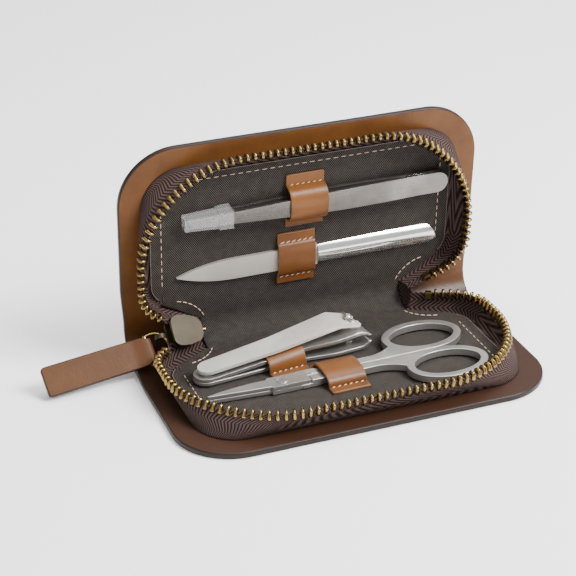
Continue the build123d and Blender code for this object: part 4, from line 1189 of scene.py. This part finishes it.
@dataclass
class ZipWalls:
    """The two leaning walls of zip tape, their gussets at both ends and their rows of teeth.

    The wall gives way by `give` behind the wire ring, and no tooth stands nearer to the hinge than
    `throat` beside the slider.
    """

    shape: CaseShape
    head: float = 0.4
    leg: float = 2.8
    tooth_thick: float = 1.0
    tooth_wide: float = 2.4
    foot: float = 3.2
    throat: float = 7.6
    give: float = 0.8
    ring_at: float = 6.6
    ring_reach: float = 2.4

    def build(self, finishes: Finishes) -> None:
        """Walls and teeth on both halves, then the gussets between them.

        Args:
            finishes: Every finish of the object.
        """
        for half in Half:
            self.tape(half, finishes)
            self.teeth(half, finishes)
        self.hinge_gusset(finishes)
        self.slider_gussets(finishes)
        LOG.info("built zip walls")

    def left_end(self) -> float:
        """Place q where the wall stops beside the slider.

        Returns:
            The place q.
        """
        fine = np.linspace(0, 2, 4000)
        x = self.shape.run(fine, self.shape.tape_top, 0.0)[:, 0]
        return float(fine[np.argmax(x < -self.shape.slider_reach)])

    def tape(self, half: Half, finishes: Finishes) -> None:
        """One wall with its foot, from beside the slider round to the hinge.

        Args:
            half: The half of the case.
            finishes: Every finish of the object.
        """
        first, thick, foot = self.left_end(), self.shape.tape, self.foot
        fine = self.shape.evenly(261, first, 9.0)
        run = np.concatenate([[0], np.cumsum(np.linalg.norm(
            np.diff(self.shape.run(fine, self.shape.half_height, 0.35), axis=0), axis=1))])
        high = self.shape.tape_top - self.shape.leather

        def grid(inset: float) -> Array:
            """Even steps along the wall, rows over its foot and then up the wall.

            Args:
                inset: Distance inside the outline.

            Returns:
                Rows x columns of flat coordinates.
            """
            along = np.linspace(inset, run[-1] - inset, 261)
            up = np.concatenate([np.linspace(inset, foot, 4)[:-1],
                                 np.linspace(foot, foot + high - inset, 12)])
            return np.stack(np.meshgrid(along, up), -1)

        def bend(a: Array, s: Array, w: Array) -> Array:
            """Lays the foot on the leather and leans the wall from it to its top edge.

            Args:
                a: First flat coordinate of the sheet.
                s: Second flat coordinate of the sheet.
                w: Height in the sheet.

            Returns:
                Points in the row frame.
            """
            q = np.interp(a, run, fine)
            from_hinge = self.shape.run(q, self.shape.half_height, thick)[:, 1]
            near_ring = np.exp(-((from_hinge - self.ring_at) / self.ring_reach) ** 2)
            inset = thick - w + np.where(q < 2, self.give * near_ring, 0.0)
            uv = self.shape.run(q, self.shape.leather, inset + np.maximum(foot - s, 0))
            u, v, rise = self.shape.wall(q, np.maximum(s - foot, 0) / high, inset)
            lift = inset * np.clip(1 - (s - foot) / 1.5, 0, 1)
            flat = s < foot
            return self.shape.place(
                half, np.where(flat, uv[:, 0], u), np.where(flat, uv[:, 1], v), rise + lift)

        piece = plate(grid, thick, 0.15, bend, 2).to_object(f"zip_tape_{half.value}", finishes.tape)
        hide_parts("lower_zip_tape" if half is Half.BASE else "upper_zip_tape")
        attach(piece, half.value)

    def tooth(self) -> Surface:
        """One tooth: rounded eight-sided sections from its legs to its head.

        The walls lean inwards, so the rows mesh to about 1.3 mm below the heads on their inner
        side. Down to there a tooth is slimmer than half a pitch.

        Returns:
            The tooth: x along the chain, y across it and z up.
        """
        levels = [(-self.leg, 1.2, 0.86), (-self.leg + 0.3, 1.5, 1.0), (-1.75, 1.55, 1.02),
                  (-1.35, 1.19, 1.06),
                  (-0.4, 1.17, 1.05), (0.1, 0.98, 0.86), (self.head, 0.5, 0.42)]
        angle = np.radians([22.5, 67.5, 112.5, 157.5, 202.5, 247.5, 292.5, 337.5])
        square = 1 / np.maximum(np.abs(np.cos(angle)), np.abs(np.sin(angle)))
        across = self.tooth_wide / 2 * np.sin(angle) * square
        along = self.tooth_thick / 2 * np.cos(angle) * square
        rings = [np.stack([along * a, across * b, np.full(8, z)], -1) for z, a, b in levels]
        return rings_surface(rings)

    def frames(self, half: Half, q: Array) -> tuple[Array, Array]:
        """Where teeth stand: on the chain line, along it and in line with the wall's lean.

        Args:
            half: The half of the case.
            q: Places of the teeth along the zip.

        Returns:
            N x 3 places and N x 3 x 3 axes.
        """
        step = 1e-3
        mid, high = self.shape.tape / 2, self.shape.half_height

        def at(place: Array, share: float, height: float) -> Array:
            """Points between the wall's foot line and its chain line.

            Args:
                place: Places q along the zip.
                share: 0 at the foot line, 1 at the chain line.
                height: Height from the outer face.

            Returns:
                Points in the row frame.
            """
            foot = self.shape.run(place, self.shape.leather, mid)
            top = self.shape.run(place, self.shape.half_height, mid)
            uv = lerp(foot, top, share)
            return self.shape.place(half, uv[:, 0], uv[:, 1], np.full(len(place), height))

        origin = at(q, 1.0, high)
        along = unit(at(q + step, 1.0, high) - at(q - step, 1.0, high))
        lean = origin - at(q, 0.0, self.shape.leather)
        up = unit(lean - np.einsum("ij,ij->i", lean, along)[:, None] * along)
        return origin, np.stack([along, np.cross(up, along), up], 1)

    def teeth(self, half: Half, finishes: Finishes) -> None:
        """A row of teeth, each row a quarter of a pitch from its own end, so that the rows mesh.

        Args:
            half: The half of the case.
            finishes: Every finish of the object.
        """
        fine = np.linspace(0, 9, 8000)
        points = self.shape.run(fine, self.shape.half_height, self.shape.tape / 2)
        run = np.concatenate([[0], np.cumsum(np.linalg.norm(np.diff(points, axis=0), axis=1))])
        count = round(run[-1] / self.shape.tooth_pitch)
        at = (np.arange(count) + 0.25) * run[-1] / count
        q = np.interp(at, run, fine)
        q = 9 - q if half is Half.BASE else q
        uv = self.shape.run(q, self.shape.half_height, self.shape.tape / 2)
        beside_slider = (uv[:, 0] < 0) & (uv[:, 0] > -self.shape.slider_reach)
        q = q[uv[:, 1] > np.where(beside_slider, self.throat, self.shape.row_gap)]
        order = np.argsort(self.shape.run(q, self.shape.half_height, 0.35)[:, 1])
        row = repeated(self.tooth(), *self.frames(half, q[order[1:]]))
        name = "lower_zip_teeth" if half is Half.BASE else "upper_zip_teeth"
        piece = row.to_object(f"brass_{name}", finishes.brass)
        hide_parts(name)
        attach(piece, half.value)

    def hinge_gusset(self, finishes: Finishes) -> None:
        """The tape between the walls at the right end: the wall's end turned about the hinge.

        Args:
            finishes: Every finish of the object.
        """
        shape, thick = self.shape, self.shape.tape

        def grid(inset: float) -> Array:
            """Columns up the wall's height and rows round the hinge."""
            share = np.linspace(inset / 7.6, 1 - inset / 7.6, 8)
            return np.stack(np.meshgrid(share * 7.6, np.linspace(0, 1, 17) * 12.0), -1)

        def bend(a: Array, s: Array, w: Array) -> Array:
            """Turns the wall's end edge about the hinge by s / 12 of the turn.

            Args:
                a: First flat coordinate of the sheet.
                s: Second flat coordinate of the sheet.
                w: Height in the sheet.

            Returns:
                Points in the row frame.
            """
            share = a / 7.6
            edge = lerp(shape.run(np.array([9.0]), shape.leather, 0.0)[0, 0],
                        shape.run(np.array([9.0]), shape.tape_top, 0.0)[0, 0], share)
            radius = shape.half_height - lerp(shape.leather, shape.tape_top, share)
            angle = s / 12.0 * shape.turn
            y = shape.hinge_y + radius * np.sin(angle)
            return np.stack([edge - thick + w, y, shape.half_height - radius * np.cos(angle)], -1)

        piece = plate(grid, thick, 0.1, bend, 1).to_object("tape_gusset_right", finishes.tape)
        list(shape.bend_line)
        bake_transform(piece)

    def slider_gussets(self, finishes: Finishes) -> None:
        """The tape from the walls' left ends into the slider, ruled from the floor to its sides.

        The base's half is drawn, and the lid's is its mirror image in the plane halfway
        between the two halves.

        Args:
            finishes: Every finish of the object.
        """
        shape, q0 = self.shape, self.left_end()
        half_turn = shape.turn / 2
        hinge = np.array([0.0, shape.hinge_y, shape.half_height])
        mouth, nose = np.array([-49.6, -2.8, 2.5]) + hinge, np.array([-38.8, 0.0, 0.0]) + hinge
        zip_across = np.array([0.0, math.cos(half_turn), math.sin(half_turn)])

        def bend(a: Array, s: Array, w: Array) -> Array:
            """Ruled from the floor to the slider's side, with a sag sin(pi share).

            Args:
                a: First flat coordinate of the sheet.
                s: Second flat coordinate of the sheet.
                w: Height in the sheet.

            Returns:
                Points in the row frame.
            """
            t, share = a / 15.0, s / 7.6
            q = lerp(q0, 0.0, t)
            foot = shape.run(q, shape.leather, shape.tape / 2)
            low = shape.place(Half.BASE, foot[:, 0], foot[:, 1], np.full(len(q), shape.leather))
            u, v, z = shape.wall(
                np.full(len(q), q0), np.ones(len(q)), np.full(len(q), shape.tape / 2))
            corner = shape.place(Half.BASE, u, v, z)
            inner = smooth(t / 0.22)[:, None]
            rail = lerp(mouth, nose, np.clip((t - 0.15) / 0.85, 0, 1)[:, None])
            rail = rail - zip_across * lerp(3.4, 1.2, t)[:, None]
            high = lerp(corner, rail, inner)
            sag = np.sin(math.pi * share)[:, None] * np.array([0.0, 0.3, -0.3])
            normal = unit(np.cross(np.array([1.0, 0.0, 0.0]), high - low))
            return lerp(low, high, share[:, None]) + sag + normal * (w - shape.tape / 2)[:, None]

        def grid(inset: float) -> Array:
            """Columns towards the slider and rows up from the floor."""
            return np.stack(np.meshgrid(
                np.linspace(0, 15.0, 22), np.linspace(inset, 7.6 - inset, 9)), -1)

        lower = plate(grid, 0.5, 0.1, bend, 1)
        piece = lower.to_object("tape_gusset_left_base", finishes.tape)
        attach(piece, "base")
        mirrored = lower.points - 2 * ((lower.points - hinge) @ zip_across)[:, None] * zip_across
        upper = Surface(mirrored, lower.faces, lower.flat, lower.rim).outward()
        piece = upper.to_object("tape_gusset_left_lid", finishes.tape)
        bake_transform(piece)


# ------------------------------------------------------------------ pull, loops and tools
@dataclass
class SliderAndPull:
    """The slider, its wire ring and the leather tab folded round the ring."""

    tab_length: float = 36.6
    tab_bore: float = 0.68
    tab_layer: float = 1.0
    tab_corner: float = 1.2

    def build(self, frame: dict, finishes: Finishes) -> None:
        """Dresses slider and ring and builds the tab on the ring's bar.

        Args:
            finishes: Every finish of the object.
        """
        dress(frame, "slider_body", finishes.plate, 0.12, 40)
        dress(frame, "pull_ring", finishes.brass)
        for node in ("lower_top_stop", "upper_top_stop", "bottom_stop"):
            dress(frame, node, finishes.brass, 0.1)
        self.tab(frame, finishes)

    def tab(self, frame: dict, finishes: Finishes) -> None:
        """A strap of two layers: out from the far end, round the bar and back.

        Args:
            finishes: Every finish of the object.
        """
        swing = next(j for j in frame["joints"] if j["name"] == "tab_swing")
        bar, side = np.array(swing["pos_m"]) / MM, np.array(swing["axis"])
        half_turn = math.pi / 2 - CaseShape().turn / 2
        out = np.array([0.0, -math.cos(half_turn), math.sin(half_turn)])
        out = unit(out - (out @ side) * side)
        away = np.cross(side, out)
        away = away if away[0] < 0 else -away
        length, inner, rounding = self.tab_length, self.tab_bore, self.tab_corner
        straight = length - 1.0
        arc = math.pi * inner
        total = 2 * straight + arc

        def width(s: Array) -> Array:
            """Half width of the strap, narrow at the bar and widest far from it."""
            reach = np.abs(s - total / 2) - arc / 2
            return lerp(3.9, lerp(4.8, 5.0, np.clip(reach / length, 0, 1)),
                        smooth((reach - 0.2) / 1.6))

        def grid(inset: float) -> Array:
            """Rows along the strap, closer at its ends, with rounded corners.

            Args:
                inset: Distance inside the outline.

            Returns:
                Rows x columns of flat coordinates.
            """
            near = np.concatenate([[0, 0.25, 0.7, 1.4], np.linspace(2.5, straight, 18)])
            s = np.concatenate([near, straight + np.linspace(0, arc, 13)[1:-1],
                                (total - near)[::-1]])
            s = inset + s * (total - 2 * inset) / total
            end = np.minimum(s, total - s)
            corner = rounding * (1 - np.sqrt(
                np.clip(1 - (1 - np.clip(end / rounding, 0, 1)) ** 2, 0, 1)))
            half = (width(s) - inset - corner)[:, None]
            return np.stack([half * np.linspace(-1, 1, 9), np.repeat(s[:, None], 9, 1)], -1)

        def bend(a: Array, s: Array, w: Array) -> Array:
            """Two straight layers, pinched together, and half a turn round the bar.

            Args:
                a: First flat coordinate of the sheet.
                s: Second flat coordinate of the sheet.
                w: Height in the sheet.

            Returns:
                Points in the row frame.
            """
            angle = np.clip((s - straight) / arc, 0, 1) * math.pi
            radius = inner + w
            reach = np.where(s < total / 2, np.maximum(straight - s, 0),
                             np.maximum(s - straight - arc, 0))
            pinch = smooth((reach - 1.0) / 3.0) * (inner - 0.03)
            x = reach - radius * np.sin(angle)
            z = -(radius - pinch) * np.cos(angle)
            return bar + a[:, None] * side + x[:, None] * away + z[:, None] * out

        piece = plate(grid, self.tab_layer, 0.3, bend, 3).to_object("leather_tab", finishes.tab)
        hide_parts("pull_tab")
        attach(piece, "tab")
        LOG.info("built leather_tab")


@dataclass
class LeatherLoop:
    """A strap bent over a tool, its flaps sewn flat to the lining."""

    node: str
    half: Half
    middle: tuple[float, float]
    angle: float
    tops: tuple[float, float]
    span: float
    length: float = 13.0
    strap: float = 0.9
    flaps: tuple[float, float] = (4.4, 4.4)
    sewn: tuple[bool, bool] = (True, True)

    def build(self, shape: CaseShape, finishes: Finishes) -> None:
        """The strap and its stitches.

        The profile is a flat foot, a steep rise and a broad crest: the top's height times
        (1 - (x / span)^2)^0.31 over the arch.

        Args:
            shape: Sizes of the case.
            finishes: Every finish of the object.
        """
        x = np.concatenate([
            [-self.span - self.flaps[0], -self.span - self.flaps[0] * 0.4],
            self.span * -np.cos(np.linspace(0, math.pi, 41)),
            [self.span + self.flaps[1] * 0.4, self.span + self.flaps[1]],
        ])
        arch = np.where(np.abs(x) < self.span,
                        np.sqrt(np.clip(1 - (x / self.span) ** 2, 0, 1)) ** 0.62, 0.0)
        step = np.hypot(np.diff(x), np.diff(arch * max(self.tops)))
        run = np.concatenate([[0], np.cumsum(step)])

        def grid(inset: float) -> Array:
            """Even rows along the profile and columns across the strap.

            Args:
                inset: Distance inside the outline.

            Returns:
                Rows x columns of flat coordinates.
            """
            s = np.linspace(0, 1, 90)
            s = inset + s * (run[-1] - 2 * inset)
            a = np.linspace(-self.length / 2 + inset, self.length / 2 - inset, 9)
            return np.stack(np.meshgrid(a, s), -1)

        lean = math.radians(self.angle)

        def bend(a: Array, s: Array, w: Array) -> Array:
            """Sets the strap on its profile, turned to the tool's angle.

            Args:
                a: First flat coordinate of the sheet.
                s: Second flat coordinate of the sheet.
                w: Height in the sheet.

            Returns:
                Points in the row frame.
            """
            top = lerp(self.tops[0], self.tops[1], a / self.length + 0.5)
            across, rise = np.interp(s, run, x), np.interp(s, run, arch)
            ahead, behind = np.minimum(s + 0.15, run[-1]), np.maximum(s - 0.15, 0)
            dx = np.interp(ahead, run, x) - np.interp(behind, run, x)
            dz = (np.interp(ahead, run, arch) - np.interp(behind, run, arch)) * top
            size = np.hypot(dx, dz)
            across = across - dz / size * w
            height = shape.floor + 0.02 + rise * top + dx / size * w
            u = self.middle[0] + a * math.cos(lean) + across * math.sin(lean)
            v = self.middle[1] - a * math.sin(lean) + across * math.cos(lean)
            return shape.place(self.half, u, v, height)

        piece = plate(grid, self.strap, 0.22, bend, 2).to_object(
            f"leather_{self.node}", finishes.loop)
        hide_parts(self.node)
        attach(piece, self.half.value)
        for side, wanted, flap in ((-1, self.sewn[0], self.flaps[0]),
                                   (1, self.sewn[1], self.flaps[1])):
            if not wanted:
                continue
            a = np.linspace(-self.length / 2 + 0.6, self.length / 2 - 0.6, 12)
            across = side * (self.span + min(0.9, flap * 0.3))
            u = self.middle[0] + a * math.cos(lean) + across * math.sin(lean)
            v = self.middle[1] - a * math.sin(lean) + across * math.cos(lean)
            line = shape.place(self.half, u, v, shape.floor + self.strap + 0.1)
            row = stitches(line, shape.inward(self.half), 2.0, 0.78, 0.19, 0.45)
            seam = row.to_object(f"seam_{self.node}_{'a' if side < 0 else 'b'}", finishes.thread)
            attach(seam, self.half.value)
        LOG.info("built leather_%s", self.node)


@dataclass
class Tools:
    """The four tools: solids of the model with their metal finishes."""

    tip_x: float = -44.0
    taper: float = 20.0
    satin: dict[str, float] = field(default_factory=lambda: {
        "tweezers_front_arm": 0.12, "tweezers_rear_arm": 0.12, "clipper_lower_jaw": 0.15,
        "clipper_upper_jaw": 0.15, "clipper_lever": 0.2, "scissors_lower_half": 0.3,
        "scissors_upper_half": 0.3,
    })
    bright: dict[str, float] = field(default_factory=lambda: {
        "clipper_rivet": 0.12, "clipper_pin": 0.1, "scissors_screw": 0.08, "file_handle": 0.3,
    })

    def build(self, frame: dict, finishes: Finishes) -> None:
        """Dresses every tool.

        Args:
            finishes: Every finish of the object.
        """
        own = {"clipper_lever": finishes.lever, "tweezers_front_arm": finishes.tweezers,
               "tweezers_rear_arm": finishes.tweezers}
        for node, edge in self.satin.items():
            dress(frame, node, own.get(node, finishes.steel), edge)
        for node, edge in self.bright.items():
            dress(frame, node, finishes.polished, edge)
        dress(frame, "tweezers_guard", finishes.clear, 0.08)
        self.file_blade(frame, finishes)

    def file_blade(self, frame: dict, finishes: Finishes) -> None:
        """The file's blade with a pointed tip, inside the solid's own outline.

        The tip's half width is that of two arcs that leave the blade straight and meet in the
        point: half width - radius + square root of (radius squared - (taper - reach) squared).

        Args:
            finishes: Every finish of the object.
        """
        node = frame["nodes"]["file_blade"]
        place = np.empty(3 * len(node.data.vertices))
        node.data.vertices.foreach_get("co", place)
        turn = np.array(node.matrix_world)
        points = (place.reshape(-1, 3) @ turn[:3, :3].T + turn[:3, 3]) / MM
        shape = CaseShape()
        spot = [shape.place(Half.LID, np.zeros(1), np.full(1, v), np.zeros(1))[0]
                for v in (0.0, 1.0)]
        across = unit(spot[1] - spot[0])
        blade = points[:, 0] < self.tip_x + self.taper + 8
        wide = points @ across
        middle = (wide[blade].min() + wide[blade].max()) / 2
        half = (wide[blade].max() - wide[blade].min()) / 2
        reach = np.clip(points[:, 0] - self.tip_x, 0, self.taper)
        radius = (self.taper**2 + half**2) / (2 * half)
        limit = half - radius + np.sqrt(radius**2 - (self.taper - reach) ** 2)
        shift = np.clip(wide - middle, -limit, limit) - (wide - middle)
        points += np.where(reach < self.taper, shift, 0.0)[:, None] * across
        faces = [tuple(face.vertices) for face in node.data.polygons]
        piece = Surface(points, faces).to_object("pointed_file_blade", finishes.file)
        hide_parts("file_blade")
        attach(piece, "file")


# ------------------------------------------------------------------ studio
@dataclass
class Studio:
    """Pale floor, soft lights and the camera at the photograph's angle."""

    azimuth: float = -20.45
    elevation: float = 27.05
    distance: float = 0.5767
    target: Colour = (-0.00705, 0.03242, 0.01949)
    lens: float = 109.08
    roll: float = -0.88

    def build(self) -> None:
        """Sets floor, world, lights and camera."""
        mesh = bpy.data.meshes.new("floor")
        size = 6.0
        corners = [(-size, -size), (size, -size), (size, size), (-size, size)]
        mesh.from_pydata([(x, y, -2e-5) for x, y in corners], [], [(0, 1, 2, 3)])
        floor = bpy.data.objects.new("floor", mesh)
        bpy.context.scene.collection.objects.link(floor)
        floor.data.materials.append(Paper("pale_floor").build())
        world = bpy.data.worlds.new("studio")
        world.use_nodes = True
        world.node_tree.nodes["Background"].inputs["Color"].default_value = (1.0, 1.0, 1.0, 1.0)
        world.node_tree.nodes["Background"].inputs["Strength"].default_value = 0.62
        bpy.context.scene.world = world
        self.light("key", (0.55, -0.45, 0.75), 0.45, 26.0)
        self.light("fill", (-0.55, -0.55, 0.5), 0.7, 2.5)
        self.light("top", (0.25, 0.25, 1.0), 0.8, 12.0)
        self.camera()

    def light(self, name: str, place: Colour, size: float, watts: float) -> None:
        """One square soft light that looks at the case.

        Args:
            name: Name of the lamp.
            place: Its place in metres.
            size: Side of its square in metres.
            watts: Its power.
        """
        lamp = bpy.data.lights.new(name, "AREA")
        lamp.energy, lamp.size = watts, size
        item = bpy.data.objects.new(name, lamp)
        bpy.context.scene.collection.objects.link(item)
        item.location = place
        item.rotation_mode = "QUATERNION"
        item.rotation_quaternion = (Vector(place) - Vector(self.target)).to_track_quat("Z", "Y")

    def camera(self) -> None:
        """The camera: at a distance back from its target, with a slight roll."""
        a, e = math.radians(self.azimuth), math.radians(self.elevation)
        back = Vector((math.sin(a) * math.cos(e), -math.cos(a) * math.cos(e), math.sin(e)))
        data = bpy.data.cameras.new("camera")
        data.lens, data.sensor_width = self.lens, 36.0
        data.clip_start, data.clip_end = 0.01, 20.0
        camera = bpy.data.objects.new("camera", data)
        bpy.context.scene.collection.objects.link(camera)
        turn = back.to_track_quat("Z", "Y").to_matrix() @ Matrix.Rotation(
            math.radians(self.roll), 3, "Z")
        camera.matrix_world = (
            Matrix.Translation(Vector(self.target) + back * self.distance) @ turn.to_4x4())
        bpy.context.scene.camera = camera


def main() -> None:
    logging.basicConfig(level=logging.INFO, format="%(message)s")
    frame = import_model()
    shape, finishes = CaseShape(), Finishes()
    LeatherCover(shape).build(finishes)
    Lining(shape).build(finishes)
    ZipWalls(shape).build(finishes)
    SliderAndPull().build(frame, finishes)
    for board in ("base_board", "lid_board"):
        dress(frame, board, finishes.card)
    loops = [
        LeatherLoop("tweezers_loop", Half.LID, (0.1, 38.3), 0.0, (5.3, 5.3), 5.4, flaps=(3.6, 4.6)),
        LeatherLoop("file_loop", Half.LID, (-2.6, 17.2), 0.0, (1.75, 1.75), 5.5, flaps=(3.6, 4.2)),
        LeatherLoop("clipper_loop", Half.BASE, (-17.5, 18.1), 6.3, (5.2, 6.5), 5.9,
                    flaps=(3.0, 3.6),
                    sewn=(False, True)),
        LeatherLoop("scissors_loop", Half.BASE, (-2.9, 33.7), 1.8, (3.75, 3.75), 6.2,
                    flaps=(2.4, 3.8),
                    sewn=(False, True)),
    ]
    for loop in loops:
        loop.build(shape, finishes)
    Tools().build(frame, finishes)
    Studio().build()


if __name__ == "__main__":
    main()
